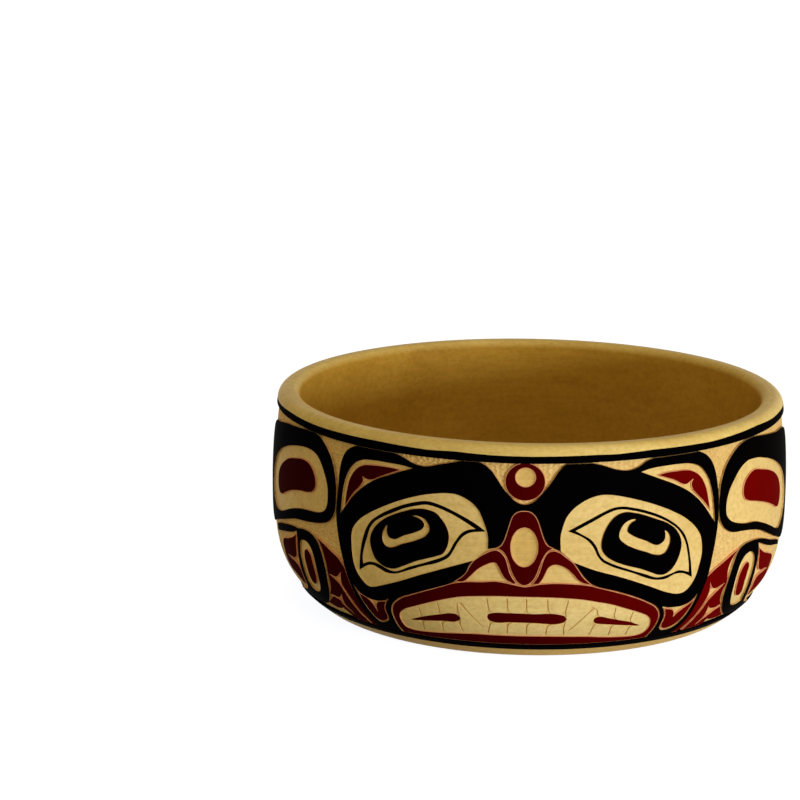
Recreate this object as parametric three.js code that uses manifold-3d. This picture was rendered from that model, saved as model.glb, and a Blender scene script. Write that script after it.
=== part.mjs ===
import * as THREE from "three";
import { mergeVertices } from "three/addons/utils/BufferGeometryUtils.js";
import Module from "manifold-3d";

// A carved feast bowl. One block of pale wood is turned and hollowed, and a band round its wall
// is cut back, so that the forms drawn on it stand proud. The forms are painted black or red, or
// left bare. The forms are the common ones of formline carving: ovoids, U forms and split U's.
// Millimetres, +Z up, the origin at the centre of the flat foot. The carved face looks along -Y.

// Driving dimensions of the bowl.
const HEIGHT = 126; // foot to the top of the rim
const BELLY_RADIUS = 152.5; // over the painted forms, where the wall is widest
const BELLY_HEIGHT = 70;
const FOOT_RADIUS = 124; // where the wall would meet the table
const FOOT_ROUND = 3;
const UNDERCUT_POWER = 3.6; // how late the wall turns in towards the foot
const RIM_RADIUS = 148.4;
const WALL = 12.2;
const FLOOR = 15;
const HOLLOW_POWER = 3; // how square the inside corner is
const RIM_OUTER_ROUND = 5.4;
const RIM_INNER_ROUND = 4.6;
const RIM_ROUND_LIMIT = 0.48; // most of the wall that either rounding takes

// The carved band and the heights of its forms above the cut ground.
const RELIEF = 1.5; // black forms, at the height of the uncut wall
const RED_LEVEL = 1.15;
const BARE_LEVEL = 0.8;
const SEAT_GAP = 0.3; // under each form
const RED_GROOVE = 0.9; // bare line left round a red form
const FIELD_GROOVE = 0.4; // round a bare field
const FOOT_BAND = 11; // along the wall, from the table to the carved band
const RIM_LAND = 0.5; // plain wall between the carved band and the rim's rounding
const RIM_STRIPE = 4.4;
const BASE_STRIPE = 3;
const STRIPE_GAP = 0.3; // between a stripe and the step of the body beside it

// The flat template that the forms are drawn on: once round the bowl, and as high as the ground
// between the two stripes. u runs round the bowl from the middle of the face and v up from the
// base stripe. A tilt is in degrees. Forms with a side are given for the viewer's right, and
// mirrored on the left.
const TEMPLATE_LENGTH = 942;
const TEMPLATE_HEIGHT = 111;

// The face.
const ROUNDEL = { u: 0, v: 101.3, width: 21.4, height: 21.4, squareness: 2, steps: 16 };
const ROUNDEL_RIM = { ends: 5, top: 2.2, bottom: 8.2 };
const NOSE = { u: 0, v: 65.5, width: 22, height: 41, squareness: 1.8 };
const NOSE_RIM = { ends: 3.6, top: 10, bottom: 9.5 };
const NOSTRIL = { u: 18.5, v: 44.6, width: 34, height: 20, thickness: 8, lean: 3, sides: 1.4 };
const NOSTRIL_WEB = 58; // above this height the nostrils grow out of the nose
const LIPS = { u: 0, v: 24.7, width: 160, height: 46, bow: 7, squareness: 2.6, steps: 24 };
const LIP = { ends: 4.8, top: 8.4, bottom: 5.4 };
const MOUTH_SLIT = { width: 47, height: 5.6, squareness: 5, steps: 14 };
const SIDE_SLIT = { width: 5.4, height: 30, foot: 0.1, tilt: 73 };
const SLIT_DROP = 4.2; // of the side slits under the middle one
const SLIT_MARGIN = 6; // from the side slits to the ends of the teeth

const SOCKET = { u: 62.7, v: 66, width: 87, height: 45, bow: 4, tilt: -24, squareness: 2.7 };
const IRIS = { u: 66.3, v: 66, width: 48, height: 29.5, bow: 3, tilt: -22, squareness: 2.6 };
const GLINT = { u: 67.3, v: 67.8, width: 31, height: 17.5, tilt: -22, squareness: 2.4 };
const GLINT_RIM = { ends: 3.2, top: -3, bottom: 6 };
const BROW = { u: 58, v: 70, width: 119, height: 77, bow: 7, tilt: -21, squareness: 2.5 };
const BRIDGE = { u: 0, v: 79, width: 44, height: 40 };
const JAW = { u: 94, v: 20.5, width: 28, height: 60, tilt: -12 };
const EAR = { u: 87.5, v: 83, width: 57, height: 62, tilt: -3, squareness: 3.6 };
const EAR_RIM = { inner: 6, outer: 3.6, top: 5, bottom: 0 };
const EAR_MARGIN = 2; // bare, round the red of the ear
const EAR_SPLIT = { u: 96.5, v: 89.5, width: 5, height: 9, tilt: -20 };
const CHEEK = { u: 92, v: 17.5, width: 21, height: 21, foot: 0.6, tilt: 170 };
const CHEEK_SPLIT = { u: 93.5, v: 28.5, width: 15, height: 8, tilt: 170 };

// The side panel, between the face on the front and the one on the back.
const SIDE = { u: 175.5, v: 81.3, width: 114, height: 56.5, bow: 6.5, tilt: -12, squareness: 3.3 };
const SIDE_RIM = { inner: 4.5, outer: 27, top: 12, bottom: 5.5 };
const SIDE_MARGIN = { inner: 15, outer: 12.5, top: 6.5, bottom: 12.5 };
const LOWER = { u: 146.5, v: 24.8, width: 36, height: 57.5, tilt: 6, squareness: 2.4 };
const LOWER_RIM = { ends: 7.5, top: 7, bottom: 10 };
const LOWER_MARGIN = { inner: 4, outer: 7, top: 7, bottom: 8 };
const LOWER_TAIL = { u: 179, v: 45.4, width: 64, height: 5, tilt: -11, squareness: 3 };
const NEAR_FIN = { u: 118, v: 22.5, width: 41, height: 62, foot: 0.08, tilt: 150 };
const NEAR_SPLIT = { u: 131, v: 29, width: 14, height: 22, tilt: 112 };
const NEAR_BASE_SPLIT = { u: 131, v: 13, width: 13, height: 22, tilt: 112 };
const FAR_FIN = { u: 189, v: 24.5, width: 64, height: 37, bow: 3, tilt: -10, squareness: 3.4 };
const FAR_SPLIT = { u: 165, v: 31, width: 10, height: 17, tilt: -82 };
const FAR_BASE_SPLIT = { u: 186, v: 4, width: 14, height: 15, tilt: -12 };
const TAIL_SPLIT = { u: 232, v: 26.5, width: 14, height: 26, tilt: 92 };

// Facets.
const TURNS = 52; // round the body
const FOOT_STEPS = 3;
const BAND_STEPS = 7;
const RIM_STEPS = 4;
const HOLLOW_STEPS = 7;
const FACET_DEPTH = 0.25; // how far a facet of a form may lie under the curved surface
const FLIP_GAIN = 0.98; // a facet's edge is swapped for one shorter than this share of it
const SLIVER = 1e-3; // mm to the fourth, the least that two facets swap over

const wasm = await Module();
wasm.setup();

const radians = THREE.MathUtils.degToRad;

// The wall's outer line, from the table to the rim plane: x is the radius and y the height.
class WallLine extends THREE.Curve {
  getPoint(t, target = new THREE.Vector2()) {
    const z = t * HEIGHT;
    const below = Math.max(0, 1 - z / BELLY_HEIGHT);
    const above = Math.max(0, (z - BELLY_HEIGHT) / (HEIGHT - BELLY_HEIGHT));
    const tuck = (BELLY_RADIUS - FOOT_RADIUS) * below ** UNDERCUT_POWER;
    return target.set(BELLY_RADIUS - tuck - (BELLY_RADIUS - RIM_RADIUS) * above ** 2, z);
  }
}
const wall = new WallLine();
wall.arcLengthDivisions = 600;
const WALL_LENGTH = wall.getLength();
const BAND_START = FOOT_BAND;
const rimOuter = Math.min(RIM_OUTER_ROUND, RIM_ROUND_LIMIT * WALL);
const rimInner = Math.min(RIM_INNER_ROUND, RIM_ROUND_LIMIT * WALL);
const BAND_END = WALL_LENGTH - rimOuter - RIM_LAND;

// The point at a length along the wall, sunk below the wall's outer face by a depth.
function wallPoint(along, depth = 0) {
  const share = THREE.MathUtils.clamp(along / WALL_LENGTH, 0, 1);
  const point = wall.getPointAt(share);
  const tangent = wall.getTangentAt(share);
  return new THREE.Vector2(point.x - depth * tangent.y, point.y + depth * tangent.x);
}

// A quarter of a superellipse from (width, 0) to (0, height), about a centre.
const power = (x, exponent) => Math.sign(x) * Math.abs(x) ** exponent;

function quarter(center, width, height, steps, squareness = 2) {
  const points = [];
  for (let i = 0; i <= steps; i++) {
    const angle = ((i / steps) * Math.PI) / 2;
    const x = i === steps ? 0 : width * power(Math.cos(angle), 2 / squareness);
    const y = height * power(Math.sin(angle), 2 / squareness);
    points.push(new THREE.Vector2(center.x + x, center.y + y));
  }
  return points;
}

// The body: one closed line turned round the axis, from the middle of the foot up the outside
// and down into the hollow.
function bowlBody() {
  const axis = new THREE.Vector2(0, BELLY_HEIGHT);
  const footEdge = wallPoint(0);
  const footFlat = footEdge.clone().setX(footEdge.x - FOOT_ROUND);
  const foot = new THREE.QuadraticBezierCurve(footFlat, footEdge, wallPoint(FOOT_ROUND));
  const line = [new THREE.Vector2(0, 0), ...foot.getPoints(FOOT_STEPS), wallPoint(BAND_START)];
  for (let i = 0; i <= BAND_STEPS; i++) {
    line.push(wallPoint(BAND_START + ((BAND_END - BAND_START) * i) / BAND_STEPS, RELIEF));
  }
  line.push(wallPoint(BAND_END));
  const outer = wallPoint(WALL_LENGTH - rimOuter);
  outer.set(outer.x - rimOuter, HEIGHT - rimOuter);
  line.push(...quarter(outer, rimOuter, rimOuter, RIM_STEPS));
  const inner = new THREE.Vector2(RIM_RADIUS - WALL + rimInner, HEIGHT - rimInner);
  line.push(...quarter(inner, -rimInner, rimInner, RIM_STEPS - 1).reverse());
  const depth = BELLY_HEIGHT - FLOOR;
  line.push(...quarter(axis, BELLY_RADIUS - WALL, -depth, HOLLOW_STEPS, HOLLOW_POWER));
  return new THREE.LatheGeometry(line, TURNS).rotateX(Math.PI / 2);
}

// A flat solid of an outline, by default tall enough to cut any form.
function solid(outline, low = -RELIEF, high = 2 * RELIEF) {
  const options = { depth: high - low, bevelEnabled: false, steps: 1 };
  const geometry = new THREE.ExtrudeGeometry(new THREE.Shape(outline), options);
  geometry.translate(0, 0, low);
  geometry.deleteAttribute("normal");
  geometry.deleteAttribute("uv");
  const merged = mergeVertices(geometry, 1e-4);
  const vertProperties = merged.attributes.position.array;
  const triVerts = new Uint32Array(merged.index.array);
  return new wasm.Manifold(new wasm.Mesh({ numProp: 3, vertProperties, triVerts }));
}

// A form is a function of how far it is grown, and gives a tall solid, so that a form and the
// groove round it come from the same sizes. Its side is 1 for the viewer's right and -1 for the
// left, which is its mirror image.
function placed(points, { u, v, tilt = 0 }, side = 1) {
  const origin = new THREE.Vector2();
  const corner = new THREE.Vector2(u, v);
  const there = points.map((p) => p.rotateAround(origin, radians(tilt)).add(corner));
  const turned = there.map((p) => p.set(side * p.x, p.y));
  return solid(side < 0 ? turned.reverse() : turned);
}

// The sizes of a form inside another, from the width of the rim that is left round it.
function inset(outer, { ends = 0, inner = ends, outer: far = ends, top, bottom }) {
  const shift = new THREE.Vector2((inner - far) / 2, (bottom - top) / 2);
  shift.rotateAround(new THREE.Vector2(), radians(outer.tilt ?? 0));
  const width = outer.width - inner - far;
  const height = outer.height - top - bottom;
  return { ...outer, u: outer.u + shift.x, v: outer.v + shift.y, width, height };
}

const joined = (...forms) => (grow) => forms.map((f) => f(grow)).reduce((a, b) => a.add(b));
const without = (form, hole) => (grow) => form(grow).subtract(hole(-grow));
const grown = (form, by) => (grow) => form(grow + by);

// A rounded oblong whose ends droop by its bow, so that its top is full and its base hollow.
function ovoid({ width, height, bow = 0, squareness = 2.6, steps = 18, ...where }, side) {
  return (grow) => {
    const points = [];
    for (let i = 0; i < steps; i++) {
      const angle = (i / steps) * 2 * Math.PI;
      const x = power(Math.cos(angle), 2 / squareness);
      const y = power(Math.sin(angle), 2 / squareness) * (height / 2 + grow);
      points.push(new THREE.Vector2(x * (width / 2 + grow), y - bow * x * x));
    }
    return placed(points, where, side);
  };
}

// A U form: a squared round head, and legs that narrow to the foot.
const U_FULLNESS = 1.06; // how far the legs swell, to half the width
const U_CROWN = 0.3; // the straight part of the head, to the width
const U_SHOULDER = 0.35; // where the swell starts, to the height

function uForm({ width, height, foot = 0.7, steps = 4, ...where }, side) {
  return (grow) => {
    const half = width / 2 + grow;
    const base = -height / 2 - grow;
    const head = height / 2 + grow;
    const swell = U_FULLNESS * half;
    const crown = U_CROWN * half;
    const shoulder = base + U_SHOULDER * height;
    const shape = new THREE.Shape();
    shape.moveTo(half * foot, base);
    shape.bezierCurveTo(swell, shoulder, swell, head, crown, head);
    shape.lineTo(-crown, head);
    shape.bezierCurveTo(-swell, head, -swell, shoulder, -half * foot, base);
    return placed(shape.getPoints(steps), where, side);
  };
}

// A split: the three-cornered cut that parts a form, with hollow sides and a long point.
const SPLIT_WAIST = 0.12; // how narrow it draws in, to half the width
const SPLIT_NECK = 0.25; // where it draws in, to the height

function split({ width, height, steps = 3, ...where }, side) {
  return (grow) => {
    const half = width / 2 + grow;
    const waist = SPLIT_WAIST * half;
    const neck = SPLIT_NECK * height;
    const shape = new THREE.Shape();
    shape.moveTo(-half, -grow);
    shape.lineTo(half, -grow);
    shape.quadraticCurveTo(waist, neck, 0, height + 2 * grow);
    shape.quadraticCurveTo(-waist, neck, -half, -grow);
    const points = shape.getPoints(steps);
    points.pop();
    return placed(points, where, side);
  };
}

// A crescent: the gap between an arch and a flatter one with the same ends. It leans to the face,
// and its sides are straight at 1 and fuller above it.
function crescent({ width, height, thickness, lean = 0, sides = 2, steps = 6, ...where }, side) {
  return (grow) => {
    const arch = (i, rise) => {
      const share = Math.cos((i / steps) * Math.PI);
      const climb = 1 - Math.abs(share) ** sides;
      return new THREE.Vector2((width / 2 + 2 * grow) * share - lean * climb, rise * climb);
    };
    const points = [];
    for (let i = 0; i <= steps; i++) points.push(arch(i, height + grow));
    for (let i = steps - 1; i > 0; i--) points.push(arch(i, height - thickness - grow));
    return placed(points, where, side);
  };
}

function oblong(left, right, low, high) {
  const corners = [left, low, right, low, right, high, left, high];
  return [0, 2, 4, 6].map((i) => new THREE.Vector2(corners[i], corners[i + 1]));
}

// The stripes, and the ground between them that the template covers, as lengths along the wall.
const rimStripe = [BAND_END - STRIPE_GAP - RIM_STRIPE, BAND_END - STRIPE_GAP];
const baseStripe = [BAND_START + STRIPE_GAP, BAND_START + STRIPE_GAP + BASE_STRIPE];
const groundLength = rimStripe[0] - baseStripe[1];

// Where a point of the template, at a height over the cut ground, lies on the bowl.
function onBowl(p) {
  const along = baseStripe[1] + (groundLength * p.y) / TEMPLATE_HEIGHT;
  const point = wallPoint(along, RELIEF - p.z);
  const angle = (p.x / TEMPLATE_LENGTH) * 2 * Math.PI;
  return new THREE.Vector3(point.x * Math.sin(angle), -point.x * Math.cos(angle), point.y);
}

// Swaps the edge that two flat neighbours share for the other diagonal where that is shorter.
function relaxed(points, faces) {
  const cross = (a, b, c) =>
    (points[b].x - points[a].x) * (points[c].y - points[a].y) -
    (points[b].y - points[a].y) * (points[c].x - points[a].x);
  for (let changed = true; changed; ) {
    changed = false;
    const open = new Map();
    const moved = new Set();
    for (let i = 0; i < faces.length; i++) {
      for (let k = 0; k < 3 && !moved.has(i); k++) {
        const [a, b, c] = [0, 1, 2].map((n) => faces[i][(k + n) % 3]);
        const across = open.get(`${b} ${a}`);
        if (!across || moved.has(across.face)) {
          open.set(`${a} ${b}`, { face: i, tip: c });
          continue;
        }
        const d = across.tip;
        const level = [b, c, d].every((n) => points[n].z === points[a].z);
        const shortest = FLIP_GAIN * points[a].distanceTo(points[b]);
        const shorter = points[c].distanceTo(points[d]) < shortest;
        if (!level || !shorter || cross(d, c, a) * cross(d, c, b) > -SLIVER) continue;
        faces[i] = [a, d, c];
        faces[across.face] = [d, b, c];
        moved.add(i).add(across.face);
        changed = true;
      }
    }
  }
  return faces;
}

// Lays a flat solid on the bowl. Edges are halved until their facets follow the curve, and each
// face is split to suit the edges that were halved, so that the surface stays closed.
function wrapped(flat) {
  const { vertProperties, triVerts, numProp } = flat.getMesh();
  const flatPoints = [];
  for (let i = 0; i < vertProperties.length; i += numProp) {
    flatPoints.push(new THREE.Vector3(...vertProperties.slice(i, i + 3)));
  }
  const points = flatPoints.map(onBowl);
  let faces = [];
  for (let i = 0; i < triVerts.length; i += 3) faces.push([...triVerts.slice(i, i + 3)]);
  faces = relaxed(flatPoints, faces);
  for (let changed = true; changed; ) {
    const middles = new Map();
    const middleOf = (a, b) => {
      const key = a < b ? `${a} ${b}` : `${b} ${a}`;
      if (!middles.has(key)) {
        const middle = flatPoints[a].clone().lerp(flatPoints[b], 0.5);
        const curved = onBowl(middle);
        const chord = points[a].clone().lerp(points[b], 0.5);
        const off = curved.distanceTo(chord) > FACET_DEPTH;
        if (off) flatPoints.push(middle);
        middles.set(key, off ? points.push(curved) - 1 : -1);
      }
      return middles.get(key);
    };
    changed = false;
    const next = [];
    for (const face of faces) {
      const mids = face.map((corner, i) => middleOf(corner, face[(i + 1) % 3]));
      const halved = mids.filter((middle) => middle >= 0).length;
      changed ||= halved > 0;
      // The face is turned so that its one halved edge, or its one whole edge, comes first.
      const first = mids.findIndex((middle) => (halved === 2 ? middle < 0 : middle >= 0));
      const turn = Math.max(0, first);
      const [a, b, c] = [0, 1, 2].map((i) => face[(i + turn) % 3]);
      const [ab, bc, ca] = [0, 1, 2].map((i) => mids[(i + turn) % 3]);
      if (halved === 0) next.push([a, b, c]);
      if (halved === 1) next.push([a, ab, c], [ab, b, c]);
      if (halved === 2) next.push([ca, bc, c], [a, b, bc], [a, bc, ca]);
      if (halved === 3) next.push([a, ab, ca], [ab, b, bc], [ca, bc, c], [ab, bc, ca]);
    }
    faces = next;
  }
  const geometry = new THREE.BufferGeometry().setFromPoints(points);
  geometry.setIndex(faces.flat());
  geometry.computeVertexNormals();
  return geometry;
}

const paints = {
  bare: { color: 0xcbb576, roughness: 0.62, level: BARE_LEVEL, groove: FIELD_GROOVE },
  black: { color: 0x0e0c0b, roughness: 0.45, level: RELIEF, groove: FIELD_GROOVE },
  red: { color: 0x7c0f0c, roughness: 0.5, level: RED_LEVEL, groove: RED_GROOVE },
};

const bowl = new THREE.Group();
bowl.name = "feast_bowl";

function addMesh(name, geometry, paint, turn = 0) {
  const { color, roughness } = paints[paint];
  const material = new THREE.MeshStandardMaterial({ color, roughness, metalness: 0 });
  const mesh = new THREE.Mesh(geometry, material);
  mesh.name = name;
  mesh.rotation.z = turn;
  bowl.add(mesh);
}

// The stripes under the rim and over the foot are full turns of the wall.
function stripeRing(low, high) {
  const line = [];
  for (const depth of [0, RELIEF - SEAT_GAP]) {
    const ends = depth ? [high, low] : [low, high];
    for (const along of ends) line.push(wallPoint(along, depth));
  }
  line.push(line[0].clone());
  return new THREE.LatheGeometry(line, TURNS).rotateX(Math.PI / 2);
}

addMesh("bowl_body", bowlBody(), "bare");
addMesh("rim_stripe", stripeRing(...rimStripe), "black");
addMesh("base_stripe", stripeRing(...baseStripe), "black");

// The pattern goes half way round the bowl and is turned half a turn for the back. Its forms are
// carved from the inside out: each is cut back from all that are there, and from the holes that
// are kept clear.
const panelEdge = TEMPLATE_LENGTH / 4 - FIELD_GROOVE;
const panel = oblong(-panelEdge, panelEdge, FIELD_GROOVE, TEMPLATE_HEIGHT - FIELD_GROOVE);
const taken = [];

function keepClear(form, groove = FIELD_GROOVE) {
  taken.push(form(groove));
}

function carve(name, paint, form) {
  const { level, groove } = paints[paint];
  let flat = form(0).intersect(solid(panel, SEAT_GAP, level));
  for (const other of taken) flat = flat.subtract(other);
  flat = flat.decompose().reduce((a, b) => (a.volume() > b.volume() ? a : b));
  keepClear(form, groove);
  const geometry = wrapped(flat);
  addMesh(`front_${name}`, geometry, paint);
  addMesh(`back_${name}`, geometry, paint, Math.PI);
}

// A form on the right and its mirror image on the left.
function carvePair(name, paint, makeForm) {
  carve(`right_${name}`, paint, makeForm(1));
  carve(`left_${name}`, paint, makeForm(-1));
}

function keepPairClear(makeForm, groove) {
  keepClear(makeForm(1), groove);
  keepClear(makeForm(-1), groove);
}

keepClear(ovoid(inset(ROUNDEL, ROUNDEL_RIM)));
carve("roundel", "red", ovoid(ROUNDEL));

const noseBulb = ovoid(NOSE);
const nostrils = joined(crescent(NOSTRIL, 1), crescent(NOSTRIL, -1));
const underWeb = (grow) => solid(oblong(-NOSE.width, NOSE.width, 0, NOSTRIL_WEB + grow));
const noseLine = (grow) => grown(noseBulb, RED_GROOVE)(grow).intersect(underWeb(grow));
keepClear(ovoid(inset(NOSE, NOSE_RIM)));
carve("nose", "red", joined(noseBulb, without(nostrils, noseLine)));
keepPairClear((side) => crescent({ ...NOSTRIL, thickness: NOSTRIL.height }, side));

const teeth = inset(LIPS, LIP);
const middleSlit = { ...MOUTH_SLIT, u: 0, v: teeth.v };
const slitReach = (teeth.width - SIDE_SLIT.height) / 2 - SLIT_MARGIN;
const sideSlit = { ...SIDE_SLIT, u: slitReach, v: middleSlit.v - SLIT_DROP };
carve("mouth_slit", "red", ovoid(middleSlit));
carvePair("mouth_slit", "red", (side) => uForm(sideSlit, side));
carve("teeth", "bare", ovoid(teeth));
carve("lips", "red", ovoid(LIPS));

const glint = (side) => without(ovoid(GLINT, side), ovoid(inset(GLINT, GLINT_RIM), side));
keepPairClear((side) => grown(glint(side), -FIELD_GROOVE));
carvePair("iris", "black", (side) => ovoid(IRIS, side));
carvePair("eye", "bare", (side) => ovoid(SOCKET, side));

const brow = (side) => ovoid(BROW, side);
const ear = (side) => ovoid(EAR, side);
const earInside = (side) => without(ovoid(inset(EAR, EAR_RIM), side), brow(side));
const earRed = (side) => grown(earInside(side), -EAR_MARGIN);
carvePair("ear", "red", (side) => without(earRed(side), split(EAR_SPLIT, side)));
keepPairClear(earInside);
keepPairClear((side) => split(CHEEK_SPLIT, side));
carvePair("cheek", "red", (side) => uForm(CHEEK, side));
const browSides = [1, -1].flatMap((side) => [brow(side), ear(side), ovoid(JAW, side)]);
carve("brow", "black", joined(ovoid(BRIDGE), ...browSides));

const sideHole = inset(SIDE, SIDE_RIM);
carvePair("side_red", "red", (side) => ovoid(inset(sideHole, SIDE_MARGIN), side));
keepPairClear((side) => ovoid(sideHole, side));
carvePair("side_form", "black", (side) => ovoid(SIDE, side));
const lowerHole = inset(LOWER, LOWER_RIM);
carvePair("lower_red", "red", (side) => ovoid(inset(lowerHole, LOWER_MARGIN), side));
keepPairClear((side) => ovoid(lowerHole, side));
const tail = (side) => ovoid(LOWER_TAIL, side);
carvePair("lower_ovoid", "black", (side) => joined(ovoid(LOWER, side), tail(side)));

for (const cut of [NEAR_SPLIT, NEAR_BASE_SPLIT, FAR_SPLIT, FAR_BASE_SPLIT, TAIL_SPLIT]) {
  keepPairClear((side) => split(cut, side));
}
carvePair("near_fin", "red", (side) => uForm(NEAR_FIN, side));
carvePair("far_fin", "red", (side) => ovoid(FAR_FIN, side));

export default bowl;
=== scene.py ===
# %% [markdown]
# # A carved feast bowl
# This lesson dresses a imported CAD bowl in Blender. The real bowl is one block of pale wood that
# is turned, hollowed and carved: the band round its wall is cut back, and the forms of a
# traditional creature face stand proud of the cut ground, painted black and red or left bare.
# Every length is written in millimetres, and turned into metres where a mesh is made.

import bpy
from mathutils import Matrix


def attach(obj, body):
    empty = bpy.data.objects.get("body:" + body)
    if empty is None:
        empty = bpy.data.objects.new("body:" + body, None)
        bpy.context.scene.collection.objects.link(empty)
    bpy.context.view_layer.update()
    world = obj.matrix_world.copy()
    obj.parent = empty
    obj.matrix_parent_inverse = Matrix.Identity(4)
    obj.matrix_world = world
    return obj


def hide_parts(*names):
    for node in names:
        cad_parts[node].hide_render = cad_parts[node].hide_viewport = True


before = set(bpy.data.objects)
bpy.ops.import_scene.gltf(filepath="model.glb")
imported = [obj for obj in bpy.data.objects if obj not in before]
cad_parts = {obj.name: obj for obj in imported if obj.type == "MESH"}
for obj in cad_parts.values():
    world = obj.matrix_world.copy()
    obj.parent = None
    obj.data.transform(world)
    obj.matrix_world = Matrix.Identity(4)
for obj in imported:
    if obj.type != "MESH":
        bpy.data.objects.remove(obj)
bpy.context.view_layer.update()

# %% Lay out the tools
import math

import bmesh
import bpy
import numpy as np
from mathutils import Matrix, Vector

MM = 0.001
scene = bpy.context.scene
bpy.ops.object.select_all(action="DESELECT")
print("Blender", bpy.app.version_string)

# %% [markdown]
# ## The camera
# The photograph looks slightly down on the face from about a metre and a half. It was cut out of
# a larger picture, so the bowl sits low and to the right. Turning the camera a little off the
# bowl puts it there, which keeps the lens unshifted for every other view.

# %% Stand the camera
AIM = Vector((0, 0, 0.063))
DISTANCE, ELEVATION, SIDESTEP, ROLL = 1.524, 14.81, 0.52, 1.07
PIXEL_OF_AIM, FRAME = (527.7, 489.5), 800
LENS, SENSOR = 114.36, 36

lift, swing = math.radians(ELEVATION), math.radians(SIDESTEP)
spot = AIM + DISTANCE * Vector(
    (math.sin(swing) * math.cos(lift), -math.cos(swing) * math.cos(lift), math.sin(lift))
)
focal = LENS / SENSOR * FRAME
seen = Vector((PIXEL_OF_AIM[0] - FRAME / 2, FRAME / 2 - PIXEL_OF_AIM[1], -focal))
track = (AIM - spot).to_track_quat("-Z", "Y").to_matrix().to_4x4()
tilt = seen.rotation_difference(Vector((0, 0, -1))).to_matrix().to_4x4()
bpy.ops.object.camera_add(location=spot)
camera = bpy.context.object
camera.data.lens = LENS
roll = Matrix.Rotation(math.radians(ROLL), 4, "Z")
camera.matrix_world = Matrix.Translation(spot) @ track @ roll @ tilt
scene.camera = camera
print("camera at", [round(x, 3) for x in spot])

# %% [markdown]
# ## The wall line
# Everything on the outside follows one line, the wall's outer profile from the table to the rim.
# A place on the wall is given by u, the way round from the middle of the face, and t, the way up
# along the wall. The drawing is flat in u and t, and is rolled onto the bowl at the end.

# %% Measure along the wall
HEIGHT, BELLY_RADIUS, BELLY_HEIGHT, FOOT_RADIUS = 126, 152.5, 70, 124
UNDERCUT_POWER, RIM_RADIUS, WALL, FLOOR, HOLLOW_POWER = 3.6, 148.4, 12.2, 15, 3
FOOT_ROUND, RIM_OUTER_ROUND, RIM_INNER_ROUND = 3, 5.4, 4.6
RELIEF = 1.5
TURN_LENGTH = 942  # once round, as the drawing counts it

heights = np.linspace(0, HEIGHT, 1261)
below = np.clip(1 - heights / BELLY_HEIGHT, 0, None)
above = np.clip((heights - BELLY_HEIGHT) / (HEIGHT - BELLY_HEIGHT), 0, None)
undercut = (BELLY_RADIUS - FOOT_RADIUS) * below**UNDERCUT_POWER
lean = (BELLY_RADIUS - RIM_RADIUS) * above**2
radii = BELLY_RADIUS - undercut - lean
lengths = np.concatenate([[0], np.cumsum(np.hypot(np.diff(radii), np.diff(heights)))])
WALL_LENGTH = lengths[-1]
ROUND_START = WALL_LENGTH - RIM_OUTER_ROUND
slope_r, slope_z = np.gradient(radii, lengths), np.gradient(heights, lengths)


def wall_line(t, proud=0.0):
    """Radius and height at a length along the wall, standing proud of the uncut wood."""
    r, z = np.interp(t, lengths, radii), np.interp(t, lengths, heights)
    dr, dz = np.interp(t, lengths, slope_r), np.interp(t, lengths, slope_z)
    return r + proud * dz, z - proud * dr


def skin(t, proud=0.0):
    """The wall line again, but going over the rounded edge of the rim where the wall ends."""
    r, z = wall_line(np.minimum(t, ROUND_START), proud)
    turn = (t - ROUND_START) / RIM_OUTER_ROUND
    over_r = wall_line(ROUND_START)[0] - RIM_OUTER_ROUND + (RIM_OUTER_ROUND + proud) * np.cos(turn)
    over_z = HEIGHT - RIM_OUTER_ROUND + (RIM_OUTER_ROUND + proud) * np.sin(turn)
    return np.where(turn > 0, over_r, r), np.where(turn > 0, over_z, z)


def on_bowl(u, t, proud):
    """Where a point of the flat drawing lies on the bowl, in metres."""
    r, z = wall_line(t, proud)
    angle = 2 * np.pi * u / TURN_LENGTH
    return np.stack([r * np.sin(angle), -r * np.cos(angle), z], axis=-1) * MM


print("the wall is %.1f mm from table to rim" % WALL_LENGTH)

# %% [markdown]
# ## Bare wood
# The wood is pale and close-grained, like alder, and lightly oiled. Its colour is mixed from slow
# patches, long grain lines and short pores. The block's grain runs from side to side, so the
# noise is stretched along X.

# %% Make a kit for finishes
def srgb(*shade):
    """A colour as a painter reads it off a chart, 0 to 255, for the shader."""
    light = [((c / 255 + 0.055) / 1.055) ** 2.4 if c > 10 else c / 255 / 12.92 for c in shade]
    return (*light, 1)


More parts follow.
